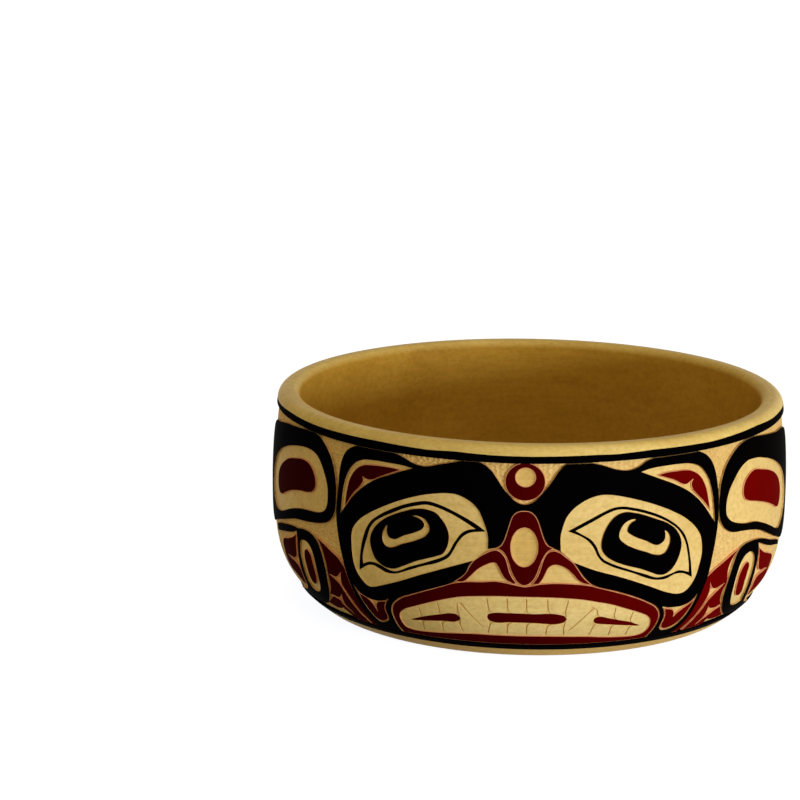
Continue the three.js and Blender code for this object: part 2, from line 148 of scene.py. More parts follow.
class Finish:
    """A material under construction: short calls that add a node and wire it up."""

    def __init__(self, name, ior=1.15):
        self.material = bpy.data.materials.new(name)
        self.material.use_nodes = True
        self.nodes, self.links = self.material.node_tree.nodes, self.material.node_tree.links
        self.shader = self.nodes["Principled BSDF"]
        self.shader.inputs["IOR"].default_value = ior
        self.place = self.nodes.new("ShaderNodeTexCoord")

    def put(self, value, socket):
        if isinstance(value, bpy.types.NodeSocket):
            self.links.new(value, socket)
        elif value is not None:
            socket.default_value = value

    def node(self, kind, output, **inputs):
        """A node with its inputs filled by name, From_Min for From Min. It gives one output."""
        node = self.nodes.new("ShaderNode" + kind)
        for name, value in inputs.items():
            self.put(value, node.inputs[name.replace("_", " ")])
        return node.outputs[output]

    def mapped(self, scale, output="Object"):
        return self.node("Mapping", "Vector", Vector=self.place.outputs[output], Scale=scale)

    def noise(self, vector, scale=1.0, detail=3.0, rough=0.55, distortion=0.0, output="Fac"):
        return self.node(
            "TexNoise", output,
            Vector=vector, Scale=scale, Detail=detail, Roughness=rough, Distortion=distortion,
        )

    def spread(self, value, low, high, start=0.0, end=1.0):
        return self.node(
            "MapRange", "Result", Value=value, From_Min=start, From_Max=end, To_Min=low, To_Max=high
        )

    def axis(self, name):
        return self.node("SeparateXYZ", name, Vector=self.place.outputs["Object"])

    def bump(self, height, strength, distance, under=None):
        return self.node(
            "Bump", "Normal", Strength=strength, Distance=distance, Height=height, Normal=under
        )

    def ramp(self, value, *stops):
        node = self.nodes.new("ShaderNodeValToRGB")
        band = node.color_ramp
        while len(band.elements) < len(stops):
            band.elements.new(0.5)
        for element, (at, colour) in zip(band.elements, stops):
            element.position = at
            element.color = colour if len(colour) == 4 else (*colour, 1)
        self.put(value, node.inputs["Fac"])
        return node.outputs["Color"]

    def mix(self, fac, first, second, kind="MIX"):
        node = self.nodes.new("ShaderNodeMix")
        node.data_type, node.blend_type = "RGBA", kind
        for value, socket in ((fac, 0), (first, 6), (second, 7)):
            self.put(value, node.inputs[socket])
        return node.outputs[2]

    def sum(self, kind, *values, node="Math"):
        """One step of arithmetic, with numbers or, as VectorMath, with places."""
        node = self.nodes.new("ShaderNode" + node)
        node.operation = kind
        for value, socket in zip(values, node.inputs):
            self.put(value, socket)
        return node.outputs[0]

    def done(self, colour, rough, normal=None):
        self.put(colour, self.shader.inputs["Base Color"])
        self.put(rough, self.shader.inputs["Roughness"])
        self.put(normal, self.shader.inputs["Normal"])
        return self.material


print("a mid wood tone, for the shader:", [round(c, 3) for c in srgb(233, 205, 134)])

# %% Mix oiled wood
WHITE = (1, 1, 1)
# The hollow's tones are darker than the rim's, partly the wood's own golden tone and partly painted
# shade; between these heights they turn into the rim's.
HOLLOW_ENDS, RIM_STARTS = 0.1218, 0.1262  # metres up, where the hollow's tone turns into the rim's


def bare_wood(name, tones, gloss=(0.42, 0.6), blotch=0.45, above=None):
    """Oiled wood with grain from side to side. Above the rim's edge it can take other tones."""
    wood = Finish(name)
    patches = wood.noise(wood.mapped((9, 14, 16)), detail=4, distortion=0.4)
    grain = wood.noise(wood.mapped((14, 150, 210)), detail=5, rough=0.6, distortion=0.3)
    pores = wood.noise(wood.mapped((90, 1100, 1100)), detail=2)
    mottle = wood.noise(wood.mapped((330, 420, 420)), detail=3, rough=0.6)

    def tinted(*tones):
        light, middle, dark = (srgb(*tone) for tone in tones)
        tone = wood.ramp(patches, (0.32, dark), (0.5, middle), (0.66, light))
        lines = wood.ramp(grain, (0.3, dark), (0.48, middle), (0.64, light))
        return wood.mix(blotch, tone, lines)

    colour = tinted(*tones)
    if above:
        # Painted shade: going up, the hollow's darker tones give way to the rim's.
        rising = wood.spread(wood.axis("Z"), 0, 1, HOLLOW_ENDS, RIM_STARTS)
        colour = wood.mix(rising, colour, tinted(*above))
    specks = wood.ramp(pores, (0.3, (0.8, 0.75, 0.68)), (0.42, WHITE))
    colour = wood.mix(0.5, colour, specks, "MULTIPLY")
    spots = wood.ramp(mottle, (0.32, (0.8, 0.76, 0.68)), (0.6, WHITE))
    colour = wood.mix(0.6, colour, spots, "MULTIPLY")
    normal = wood.bump(grain, 0.1, 0.0004, wood.bump(pores, 0.12, 0.0002))
    return wood, colour, wood.spread(grain, *gloss), normal


def plain_wood(*recipe, **how):
    wood, *sockets = bare_wood(*recipe, **how)
    return wood.done(*sockets)


# Each wood's light, middle and dark tone
CARVED = (240, 214, 146), (233, 205, 134), (216, 185, 112)
TEETH_TONES = (244, 222, 158), (239, 216, 148), (224, 198, 126)
# The dished holes' tones are darker than the carved wood's: painted shade in these small hollows.
HOLE_PAINTED_SHADE_TONES = (231, 199, 126), (224, 190, 114), (206, 170, 94)
TURNED = (236, 212, 138), (228, 202, 124), (212, 182, 104)
FOOT = (240, 208, 130), (232, 197, 116), (214, 177, 96)
# The hollow's tones: partly the wood's own golden tone, partly painted shade inside the bowl.
HOLLOW = (206, 166, 68), (196, 154, 58), (176, 134, 47)
# The chiselled ground's tones are a little lighter than the carved wood's: painted light against
# the shade of the relief round it.
GROUND = (248, 218, 150), (242, 208, 138), (224, 186, 114)
bare = plain_wood("carved_bare_wood", CARVED)
teeth_wood = plain_wood("teeth_bare_wood", TEETH_TONES)
hole_wood = plain_wood("dished_hole_painted_shade", HOLE_PAINTED_SHADE_TONES)
rim_wood = plain_wood("turned_rim_wood", TURNED, (0.34, 0.5))
foot_wood = plain_wood("handled_foot_wood", FOOT)
hollow_wood = plain_wood("hollow_wood_painted_shade", HOLLOW, (0.4, 0.55), 0.35, above=TURNED)
woods = bare, teeth_wood, hole_wood, rim_wood, foot_wood, hollow_wood
print("woods:", ", ".join(wood.name for wood in woods))

# %% [markdown]
# ## The chiselled ground
# The cut ground shows the scoops of a small gouge, each about three millimetres long. They are
# cells of a Voronoi pattern on the unrolled wall, nudged by noise so that no row runs straight.
# Each scoop dents the wood, and its colour is darkened a little towards its middle as painted
# shade.

# %% Chisel the ground
SCOOP_NUDGE, SCOOPS_PER_MM = (3.4, 3.0, 0), (0.31, 0.56, 0)
wood, colour, rough, normal = bare_wood("chiselled_ground", GROUND, (0.5, 0.7), 0.3)
flat_place = wood.mapped((1 / MM, 1 / MM, 1 / MM), "UV")
wobble = wood.noise(flat_place, 0.16, detail=2, output="Color")
shifted = wood.sum("MULTIPLY_ADD", wobble, SCOOP_NUDGE, flat_place, node="VectorMath")
squeezed = wood.sum("MULTIPLY", shifted, SCOOPS_PER_MM, node="VectorMath")
dimples = wood.nodes.new("ShaderNodeTexVoronoi")
dimples.feature, dimples.voronoi_dimensions = "SMOOTH_F1", "2D"
settings = {"Scale": 1.0, "Randomness": 0.62, "Smoothness": 0.25, "Vector": squeezed}
for socket, value in settings.items():
    wood.put(value, dimples.inputs[socket])
scoop = wood.sum("POWER", dimples.outputs["Distance"], 1.6)
# Painted shade: each scoop is darkened towards its middle.
shade = wood.ramp(scoop, (0.05, (0.88, 0.83, 0.74)), (0.45, WHITE))
colour = wood.mix(0.8, colour, shade, "MULTIPLY")
ground_wood = wood.done(colour, rough, wood.bump(scoop, 0.9, 0.0011, normal))
print("ground:", ground_wood.name)

# %% [markdown]
# ## Paint
# The black and the red are thin satin paints, brushed over the finished carving. They keep a
# little of the brush and are worn thinner in places. The red is darker towards the left, which is
# painted shade on the side away from the lamp. They stop at the cut edge, where a line of bare
# wood shows; along the red it is stained pink. A paint's tones are given from left to right, as
# stops along X.

# %% Mix the paints
# Painted shade: the red darkens towards the left, away from the lamp, across this span.
SHADE_SPAN = 0.13  # metres either side of the middle, over which a paint's tone changes


def paint(name, thin, *tones):
    finish = Finish(name, ior=1.02)
    brush = finish.noise(finish.mapped((60, 60, 420)), detail=3, distortion=0.5)
    cloud = finish.noise(finish.mapped((22, 22, 22)), detail=3)
    wear = finish.noise(finish.mapped((160, 160, 160)), detail=4, rough=0.7)
    # Painted shade: a paint's tones run along X, darker on the side away from the lamp.
    along = finish.spread(finish.axis("X"), 0, 1, -SHADE_SPAN, SHADE_SPAN)
    colour = finish.ramp(along, *((at, srgb(*tone)) for at, tone in tones))
    clouded = finish.ramp(cloud, (0.3, (0.84, 0.84, 0.84)), (0.58, WHITE))
    colour = finish.mix(1.0, colour, clouded, "MULTIPLY")
    worn = finish.ramp(wear, (0.68, (0, 0, 0)), (0.8, WHITE))
    colour = finish.mix(worn, colour, srgb(*thin))
    return finish.done(colour, finish.spread(brush, 0.5, 0.62), finish.bump(brush, 0.08, 0.0003))


def edge_wood(name, dark, light):
    finish = Finish(name)
    grain = finish.noise(finish.mapped((120, 120, 400)), detail=3)
    colour = finish.ramp(grain, (0.35, srgb(*dark)), (0.65, srgb(*light)))
    return finish.done(colour, finish.spread(grain, 0.5, 0.7))


black_paint = paint("black_paint_satin", (9, 7, 6), (0, (3, 2, 3)), (1, (3, 2, 2)))
# Painted shade: the red is darkest on the left, away from the lamp, and lightest on the right.
RED_PAINTED_SHADE_TONES = (0, (54, 1, 3)), (0.5, (72, 1, 3)), (0.88, (106, 3, 2))
red_paint = paint("red_paint_satin", (104, 14, 6), *RED_PAINTED_SHADE_TONES)
cut_edge = edge_wood("cut_edge_wood", (170, 132, 82), (206, 170, 112))
stained_edge = edge_wood("stained_edge_wood", (206, 136, 96), (228, 168, 122))
# Painted shade: the sloping cut edges and grooves of the bare forms are darker than the carved
# wood.
groove_painted_shade = edge_wood("groove_wood_painted_shade", (188, 142, 80), (208, 166, 104))
print("paints:", black_paint.name, red_paint.name)

# %% [markdown]
# ## The bowl itself
# On the real bowl this is one turned block. A lathe job in Blender is a spin: half the section is
# drawn as a chain of points, and spun once round the axis. The band is cut back by the depth of
# the relief, and the rim and the foot keep the uncut surface.

# %% Draw the half section
FOOT_BAND = 13
BAND_END = ROUND_START - 0.5


def quarter(center, width, height, steps, squareness=2.0):
    """A quarter of a superellipse from its side to its top."""
    angle = np.linspace(0, np.pi / 2, steps + 1)
    x = width * np.abs(np.cos(angle)) ** (2 / squareness)
    y = height * np.abs(np.sin(angle)) ** (2 / squareness)
    x[-1] = 0
    return list(zip(center[0] + x, center[1] + y))


def foot_curve(steps=5):
    """The rounded edge between the underside and the wall."""
    start, corner = np.array([FOOT_RADIUS - FOOT_ROUND, 0]), np.array(wall_line(0))
    end, shares = np.array(wall_line(FOOT_ROUND)), np.linspace(0, 1, steps + 1)
    return [tuple((1 - s) ** 2 * start + 2 * s * (1 - s) * corner + s * s * end) for s in shares]


def wall_run(start, end, count, proud=0.0):
    return [tuple(map(float, wall_line(t, proud))) for t in np.linspace(start, end, count)]


section = [(0, 0), (40, 0), (80, 0), (112, 0)] + foot_curve()
section += wall_run(FOOT_ROUND + 2, FOOT_BAND - 0.4, 5)
section += wall_run(FOOT_BAND, BAND_END, 61, -RELIEF)
section += wall_run(BAND_END + 0.4, BAND_END + 0.4, 1)
center = (wall_line(ROUND_START)[0] - RIM_OUTER_ROUND, HEIGHT - RIM_OUTER_ROUND)
section += quarter(center, RIM_OUTER_ROUND, RIM_OUTER_ROUND, 9)
center = (RIM_RADIUS - WALL + RIM_INNER_ROUND, HEIGHT - RIM_INNER_ROUND)
section += quarter(center, -RIM_INNER_ROUND, RIM_INNER_ROUND, 9)[::-1]
depth = BELLY_HEIGHT - FLOOR
hollow = quarter((0, BELLY_HEIGHT), BELLY_RADIUS - WALL, -depth, 36, HOLLOW_POWER)
(rim_r, rim_z), (top_r, top_z) = section[-1], hollow[0]
shares = np.linspace(0.1, 0.9, 9)
section += [((1 - s) * rim_r + s * top_r, (1 - s) * rim_z + s * top_z) for s in shares]
section += hollow
print("half section of", len(section), "points")

# %% Spin the bowl
def chain(name, points):
    """An object whose mesh is a chain of points in the X-Z plane, ready to be spun."""
    bpy.ops.object.select_all(action="DESELECT")
    bpy.ops.mesh.primitive_circle_add(vertices=len(points), fill_type="NOTHING")
    piece = bpy.context.object
    piece.name = piece.data.name = name
    mesh = piece.data
    mesh.vertices.foreach_set("co", np.array([(r * MM, 0, z * MM) for r, z in points]).ravel())
    bpy.ops.object.mode_set(mode="EDIT")
    bm = bmesh.from_edit_mesh(mesh)
    bm.verts.ensure_lookup_table()
    bm.edges.remove(bm.edges.get((bm.verts[0], bm.verts[-1])))
    bmesh.update_edit_mesh(mesh)
    return piece


def spun(name, points, steps=240):
    piece = chain(name, points)
    bpy.ops.mesh.select_all(action="SELECT")
    bpy.ops.mesh.spin(steps=steps, angle=2 * math.pi, center=(0, 0, 0), axis=(0, 0, 1))
    bpy.ops.mesh.select_all(action="SELECT")
    bpy.ops.mesh.remove_doubles(threshold=0.00002)
    bpy.ops.mesh.normals_make_consistent(inside=False)
    bpy.ops.object.mode_set(mode="OBJECT")
    return piece


def pick(*pieces):
    """Select these pieces alone, with the first one active."""
    bpy.ops.object.select_all(action="DESELECT")
    for piece in pieces:
        piece.select_set(True)
    bpy.context.view_layer.objects.active = pieces[0]


def smooth(piece, degrees):
    pick(piece)
    bpy.ops.object.shade_smooth_by_angle(angle=math.radians(degrees))


def corners(mesh):
    """The mesh's points as a table, three columns in metres."""
    co = np.empty(len(mesh.vertices) * 3)
    mesh.vertices.foreach_get("co", co)
    return co.reshape(-1, 3)


def lay_flat_map(piece):
    """A UV map that unrolls the wall: u and t, in metres, measured from the middle of the face."""
    mesh = piece.data
    if not mesh.uv_layers:
        mesh.uv_layers.new(name="wall")
    co = corners(mesh)
    corner = np.empty(len(mesh.loops), dtype=int)
    mesh.loops.foreach_get("vertex_index", corner)
    total = np.empty(len(mesh.polygons), dtype=int)
    mesh.polygons.foreach_get("loop_total", total)
    middle = np.empty(len(mesh.polygons) * 3)
    mesh.polygons.foreach_get("center", middle)
    middle = np.repeat(middle.reshape(-1, 3), total, axis=0)
    around = np.arctan2(co[corner, 0], -co[corner, 1])
    centre = np.arctan2(middle[:, 0], -middle[:, 1])
    around = centre + (around - centre + np.pi) % (2 * np.pi) - np.pi
    up = np.interp(co[corner, 2] / MM, heights, lengths)
    uv = np.stack([around * TURN_LENGTH / 2 / np.pi * MM, up * MM], axis=1)
    mesh.uv_layers[0].data.foreach_set("uv", uv.ravel())


def ready(piece, nodes):
    """Book a finished piece in: what carries it, and what it stands for, which is hidden."""
    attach(piece, "root")
    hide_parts(*nodes)


UNCUT, ON_RIM, INSIDE, CUT_BACK = range(4)
bowl = spun("bowl_block", section)
for material in (foot_wood, rim_wood, hollow_wood, ground_wood):
    bowl.data.materials.append(material)
for face in bowl.data.polygons:
    x, y, z = (c / MM for c in face.center)
    r = math.hypot(x, y)
    outside = r > np.interp(z, heights, radii) - 2.5 and z > 1
    t = np.interp(z, heights, lengths)
    if outside and FOOT_BAND < t < BAND_END:
        face.material_index = CUT_BACK
    elif z > HEIGHT - 7 and r > RIM_RADIUS - WALL + RIM_INNER_ROUND:
        face.material_index = ON_RIM
    elif not outside and z > FLOOR - 1:
        face.material_index = INSIDE
smooth(bowl, 40)
lay_flat_map(bowl)
ready(bowl, ["bowl_body"])
print("bowl:", len(bowl.data.polygons), "faces")

# %% [markdown]
# ## The two black lines
# A painted line closes the carved band above and below. Each is a thin ring over the edge of the
# rim or the foot, and goes down to the ground on one side. Painted by hand, it wanders: the ring
# is spun on a straight drum, and then laid on the wall between two uneven edges.

# %% Spin the rim line and the foot line
RIM_LOW = [
    (-235.5, 128.2), (-200, 128.3), (-156, 127.9), (-120, 127.1), (0, 126.9), (36, 127.3),
    (72, 127.7), (110, 127.8), (150, 128), (200, 128.4), (235.5, 128.2),
]
RIM_HIGH = [
    (-235.5, 131.4), (-200, 131.3), (-172, 132.1), (-135, 131.6), (-88, 131.8), (-54, 131),
    (-40, 131.6), (-20, 130.9), (0, 130.7), (39, 131.3), (50, 131.1), (72, 132), (112, 131.6),
    (156, 133.1), (180, 132.4), (200, 132.6), (235.5, 131.4),
]
FOOT_LOW = [(0, 11), (1, 11)]
FOOT_HIGH = [(-235.5, 16.1), (-60, 16), (60, 16.2), (235.5, 16.1)]
DRUM, TALL = 100, 10  # the drum's radius, and the height of the painted face on it


def line_ring(name, low, high, node, rows):
    """A ring from its section on the drum: how proud of the wall, and how high."""
    ring = spun(name, [(DRUM + proud, up) for proud, up in rows])
    co = corners(ring.data)
    angle = np.arctan2(co[:, 0], -co[:, 1])
    half = TURN_LENGTH / 2
    u = (angle / np.pi * half + half / 2) % half - half / 2
    up, proud = co[:, 2] / MM, np.hypot(co[:, 0], co[:, 1]) / MM - DRUM
    start, end = (np.interp(u, *zip(*edge)) for edge in (low, high))
    t = start + (end - start) * np.clip(up, 0, TALL) / TALL
    t = t + np.minimum(up, 0) + np.maximum(up - TALL, 0)
    r, z = skin(t, proud)
    co = np.stack([r * np.sin(angle), -r * np.cos(angle), z], axis=1) * MM
    ring.data.vertices.foreach_set("co", co.ravel())
    ring.data.update()
    ring.data.materials.append(black_paint)
    smooth(ring, 30)
    ready(ring, [node])
    return ring


FACE = [(0.06, up) for up in np.linspace(0, TALL, 6)]
rows = [(-1.7, -0.35), (-0.25, -0.1)] + FACE + [(-0.35, TALL + 0.08)]
rim_line = line_ring("rim_line", RIM_LOW, RIM_HIGH, "rim_stripe", rows)
rows = [(-0.35, -0.08)] + FACE + [(-0.25, TALL + 0.1), (-1.7, TALL + 0.35)]
foot_line = line_ring("foot_line", FOOT_LOW, FOOT_HIGH, "base_stripe", rows)
print("lines:", rim_line.name, foot_line.name)

# %% [markdown]
# ## From a drawing to a carved form
# Each form starts as a closed outline on the flat drawing. A circle of edges is pulled to the
# outline, filled, and cut on a grid so that it can bend. Its rim is drawn down twice: a little for
# the rounded edge of the paint, then to the ground for the bevel that the knife leaves. Last, the
# sheet is rolled onto the wall.

# %% Draw a smooth line through a few points
CORNER = 50  # degrees: a sharper turn is a corner, as is a point with a 1 after its place


def flowing(points, step=1.1):
    """A closed curve through the points. It turns sharply only where the points do."""
    p = np.array([q[:2] for q in points], dtype=float)
    n = len(p)
    ahead = np.roll(p, -1, axis=0) - p
    span = np.hypot(*ahead.T)
    ahead /= span[:, None]
    back = np.roll(ahead, 1, axis=0)
    back_span = np.roll(span, 1)
    turn = np.degrees(np.arccos(np.clip((ahead * back).sum(axis=1), -1, 1)))
    sharp = (turn > CORNER) | np.array([len(q) > 2 for q in points])
    mid = ahead * back_span[:, None] + back * span[:, None]
    mid /= np.hypot(*mid.T)[:, None] + 1e-9
    leave = np.where(sharp[:, None], ahead, mid)
    reach = np.where(sharp[:, None], back, mid)
    line = []
    for i in range(n):
        j = (i + 1) % n
        count = max(2, int(round(span[i] / step)))
        s = np.linspace(0, 1, count, endpoint=False)[:, None]
        h = (2 * s**3 - 3 * s**2 + 1) * p[i] + (s**3 - 2 * s**2 + s) * leave[i] * span[i]
        h += (-2 * s**3 + 3 * s**2) * p[j] + (s**3 - s**2) * reach[j] * span[i]
        line.append(h)
    return np.concatenate(line)


def turned(line, anticlockwise):
    x, y = line.T
    area = (x * np.roll(y, -1) - np.roll(x, -1) * y).sum()
    return line if (area > 0) == anticlockwise else line[::-1]


def outward(line):
    """Which way the cut edge slopes off at each point of an outline."""
    ahead = np.roll(line, -1, axis=0) - line
    ahead /= np.hypot(*ahead.T)[:, None] + 1e-9
    normal = np.stack([ahead[:, 1], -ahead[:, 0]], axis=1)
    both = normal + np.roll(normal, 1, axis=0)
    size = np.hypot(*both.T)[:, None]
    both = np.where(size > 1e-6, both / (size + 1e-9), normal)
    return both / np.clip((both * normal).sum(axis=1), 0.55, 1)[:, None]


def wider(outline, by):
    """An outline drawn again, further out all round by a distance."""
    line = turned(flowing(outline, step=2), True)
    return [tuple(point) for point in line + outward(line) * by]


square = [(0, 0), (10, 0), (10, 10), (0, 10)]
print("a square of", len(square), "points is drawn with", len(flowing(square)))

# %% Carve one form
GRID, OFF_GRID = 3.2, 0.013  # the grid stands a hair off round numbers, where outlines have points


def sheet(name, outlines, level, depth, soft, bevel, edge_below, grid=GRID):
    """A carved form as a flat sheet in millimetres: outlines are its rim and then its holes."""
    loops = [turned(flowing(o), i == 0) for i, o in enumerate(outlines)]
    bpy.ops.object.select_all(action="DESELECT")
    bpy.ops.mesh.primitive_circle_add(vertices=len(loops[0]), fill_type="NOTHING")
    piece = bpy.context.object
    piece.name = piece.data.name = name
    bpy.ops.object.mode_set(mode="EDIT")
    for loop in loops[1:]:
        bpy.ops.mesh.primitive_circle_add(vertices=len(loop), fill_type="NOTHING")
    bpy.ops.object.mode_set(mode="OBJECT")
    mesh = piece.data
    flat = np.zeros((len(mesh.vertices), 3))
    flat[:, :2] = np.concatenate(loops)
    mesh.vertices.foreach_set("co", flat.ravel())
    slope = np.zeros_like(flat)
    slope[:, :2] = np.concatenate([outward(loop) for loop in loops])
    mesh.attributes.new("slope", "FLOAT_VECTOR", "POINT").data.foreach_set("vector", slope.ravel())
    bpy.ops.object.mode_set(mode="EDIT")
    bpy.ops.mesh.select_all(action="SELECT")
    bpy.ops.mesh.fill(use_beauty=True)
    low, high = flat.min(axis=0), flat.max(axis=0)
    for axis, normal in ((0, (1, 0, 0)), (1, (0, 1, 0))):
        for cut in np.arange(math.ceil(low[axis] / grid), high[axis] / grid):
            bpy.ops.mesh.select_all(action="SELECT")
            at = [0, 0, 0]
            at[axis] = cut * grid + OFF_GRID
            bpy.ops.mesh.bisect(plane_co=at, plane_no=normal)
    bpy.ops.mesh.select_mode(type="EDGE")
    bpy.ops.mesh.select_all(action="DESELECT")
    bpy.ops.mesh.select_non_manifold(
        extend=False, use_wire=False, use_boundary=True, use_multi_face=False,
        use_non_contiguous=False, use_verts=False,
    )
    for out, down in (soft, (bevel, depth)):
        bpy.ops.mesh.extrude_edges_move()
        bm = bmesh.from_edit_mesh(mesh)
        layer = bm.verts.layers.float_vector["slope"]
        for vert in bm.verts:
            if vert.select:
                vert.co += vert[layer] * out
                vert.co.z -= down
        bmesh.update_edit_mesh(mesh)
    bpy.ops.mesh.select_mode(type="VERT")
    bpy.ops.object.mode_set(mode="OBJECT")
    if sum(face.normal.z * face.area for face in mesh.polygons) < 0:
        mesh.flip_normals()
    for face in mesh.polygons:
        face.material_index = 1 if face.center.z < -edge_below else 0
    mesh.attributes.remove(mesh.attributes["slope"])
    co = corners(mesh)
    mesh.vertices.foreach_set("co", on_bowl(co[:, 0], co[:, 1], level - RELIEF + co[:, 2]).ravel())
    mesh.update()
    return piece


def joined(name, pieces):
    pick(*pieces)
    if len(pieces) > 1:
        bpy.ops.object.join()
    pieces[0].name = pieces[0].data.name = name
    return pieces[0]


print("a form can bend every", GRID, "mm")

# %% [markdown]
# ## Right, left and back
# The carver laid the face out by eye, so its left half isn't quite its right half turned over:
# each side has its own outlines. The back of the bowl can't be seen in the photograph, and
# repeats the front, half a turn on.

# %% Paint a form, and book it in twice
SIDES = ("right", "left")
RED_LEVEL, BARE_LEVEL, SLIT_LEVEL, FIELD_LEVEL = 1.15, 0.8, 0.55, 0.35  # above the cut ground
KINDS = {  # what covers a form, its cut edge, its slot, and how high it usually stands
    "black": (black_paint, cut_edge, "black_paint", RELIEF),
    "red": (red_paint, stained_edge, "red_paint", RED_LEVEL),
    "bare": (bare, groove_painted_shade, "carved_wood", BARE_LEVEL),
    "teeth": (teeth_wood, groove_painted_shade, "carved_wood", BARE_LEVEL),
    "hole": (hole_wood, groove_painted_shade, "carved_wood", BARE_LEVEL),
}
SINK = 0.4  # how far a form's edge goes into what it stands on
CUTS_OF = {  # the rounded edge, the bevel, and how deep the bare edge starts
    "black": dict(soft=(0.1, 0.2), bevel=0.4, edge_below=0.25),
    "red": dict(soft=(0.36, 0.1), bevel=0.25, edge_below=0.03),
    "bare": dict(soft=(0.12, 0.1), bevel=0.3, edge_below=0.15),
    "teeth": dict(soft=(0.14, 0.1), bevel=0.34, edge_below=0.08),
}
NO_EDGE = 9  # deeper than any form, so that no bare edge starts
LINING = dict(level=FIELD_LEVEL, soft=(-0.7, 0.02), bevel=0, edge_below=NO_EDGE)
DISHED = dict(level=FIELD_LEVEL, soft=(1.7, -0.7), bevel=0, edge_below=NO_EDGE)


def form(name, outlines, kind, level=None, on=0.0, **how):
    """One painted sheet, standing on the ground or on a field."""
    cover, edge, _, usual = KINDS[kind]
    level = usual if level is None else level
    piece = sheet(name, outlines, level, level - on + SINK, **{**CUTS_OF.get(kind, {}), **how})
    piece.data.materials.append(cover)
    piece.data.materials.append(edge)
    return piece


def lining(hole):
    """A thin field of smooth bare wood that fills a hole."""
    return form("field", [hole], "bare", **LINING)


def dished(hole):
    """The bare wood inside a red ring, hollowed like a dish."""
    return form("field", [wider(hole, -1.5)], "hole", **DISHED)


def book_in(name, pieces):
    """Join the sheets of a form, smooth them, and turn a copy to the back."""
    front = joined("front_" + name, pieces)
    smooth(front, 32)
    lay_flat_map(front)
    ready(front, ["front_" + name])
    pick(front)
    bpy.ops.object.duplicate(linked=False)
    back = bpy.context.object
    back.name = back.data.name = "back_" + name
    back.data.transform(Matrix.Rotation(math.pi, 4, "Z"))
    lay_flat_map(back)
    ready(back, ["back_" + name])
    print(front.name, len(front.data.polygons), "faces")


def pair(name, outline, kind, **how):
    """The same kind of form on the right and on the left of the face."""
    for side in SIDES:
        piece = form(name, [outline[side]], kind, **how)
        book_in(side + "_" + name, [piece])


print("kinds of form:", ", ".join(KINDS))

# %% [markdown]
# ## The brow
# One big black form carries the face: it runs from the middle of the brow over both eyes, round
# the ears, down behind the cheeks and back along the lips. The eye sockets are bays in it, and
# the ears and the cheeks are holes. It is drawn as one outline, because on the real bowl it is
# one painted surface. Thin fields of smooth bare wood line the holes.

# %% Draw the eye sockets and the holes of the brow
SOCKET_EDGE = {
    "right": [
        (27.3, 71.9, 1), (38.4, 67.3), (52.6, 62.6), (70, 55.6), (82, 50.3), (85.8, 49),
        (88.9, 48.3), (92.9, 48.5), (95.1, 49.4), (97, 51), (100.6, 56.3), (103.1, 63.7),
        (104.4, 69.1), (104.2, 75.8), (103.1, 80.2), (101, 83.6), (97.6, 87.4), (93.4, 90.9),
        (82.9, 97.1), (69.9, 102.7), (60.9, 105.7), (51.5, 108.2), (46.5, 109.1), (41.3, 109.3),
        (36.4, 108.3), (30.4, 105.5), (25.4, 101.6), (22.3, 97.4), (20.6, 93), (19.3, 87.2),
        (19.5, 79, 1),
    ],
    "left": [
        (-27.3, 71.9, 1), (-40.4, 67.1), (-58, 60.2), (-70, 55), (-82, 50.3), (-87.4, 48.4),
        (-90.2, 47.9), (-93.2, 49.1), (-96.2, 51.7), (-99.6, 56.3), (-101.3, 61), (-102.5, 69.6),
        (-102.7, 74.8), (-101.5, 80.1), (-97.4, 85.4), (-89.5, 91.2), (-81.1, 95.9), (-66, 102.8),
        (-60.6, 104.7), (-51.9, 107), (-42.2, 108.4), (-37.2, 108.2), (-31.9, 106.4),
        (-27.6, 103.7), (-25.1, 101.1), (-21.8, 94.4), (-19.3, 86.3), (-19.2, 79.2, 1),
    ],
}
EAR_FIELD = {
    "right": [
        (64, 120.3, 1), (67.5, 121.3), (72, 122), (81, 122.4), (88.2, 122.4), (96.5, 121.6),
        (103, 119), (107.4, 114.2), (111.5, 103.8), (112.8, 95), (113.7, 85.6, 1), (110.1, 90.3),
        (104.1, 97.8), (95.1, 105.8), (86.5, 110.7), (75, 115.7),
    ],
    "left": [
        (-62.6, 119.8, 1), (-67, 120.5), (-78, 120.9), (-87.9, 120.8), (-96.8, 119.6),
        (-100.9, 117.6), (-104, 114.7), (-108.1, 107.3), (-109.5, 102), (-110.3, 95),
        (-111.4, 86.2, 1), (-105.5, 93.7), (-100.1, 100), (-92, 106.8), (-85.5, 110.6),
        (-77, 114.2), (-69.5, 117.3),
    ],
}
CHEEK_FIELD = {
    "right": [
        (80.5, 41.6, 1), (85, 40.4), (90, 39.9), (94, 39.9), (97.5, 40.8), (100.5, 42.3),
        (102.8, 44.7), (104.3, 46.8, 1), (103.8, 44), (102.7, 40.5), (101.6, 36.8), (100, 32.5),
        (98.2, 28.7), (96, 25.3), (93.8, 23.1), (91.3, 22.2), (88.5, 22), (86, 22.6), (84, 24.5),
        (83, 27), (83.1, 31), (83.1, 34.5), (82.3, 37.7),
    ],
    "left": [
        (-103.7, 47.9, 1), (-101.5, 45.5), (-99.3, 43.3), (-96.1, 41.4), (-92.5, 40.3), (-89, 39.9),
        (-86, 40), (-82.8, 40.8), (-80.6, 41.6), (-78, 42.9, 1), (-80.4, 39.6), (-81.6, 36.8),
        (-82, 33), (-81.7, 29), (-82.6, 26.5), (-84.6, 24.6), (-87.4, 23.1), (-90, 22.6),
        (-92, 23.9), (-94, 27.6), (-96, 32), (-98, 36.5), (-100.2, 41.2), (-102.2, 45),
    ],
}
print("sockets of", len(SOCKET_EDGE["right"]), "and", len(SOCKET_EDGE["left"]), "points")

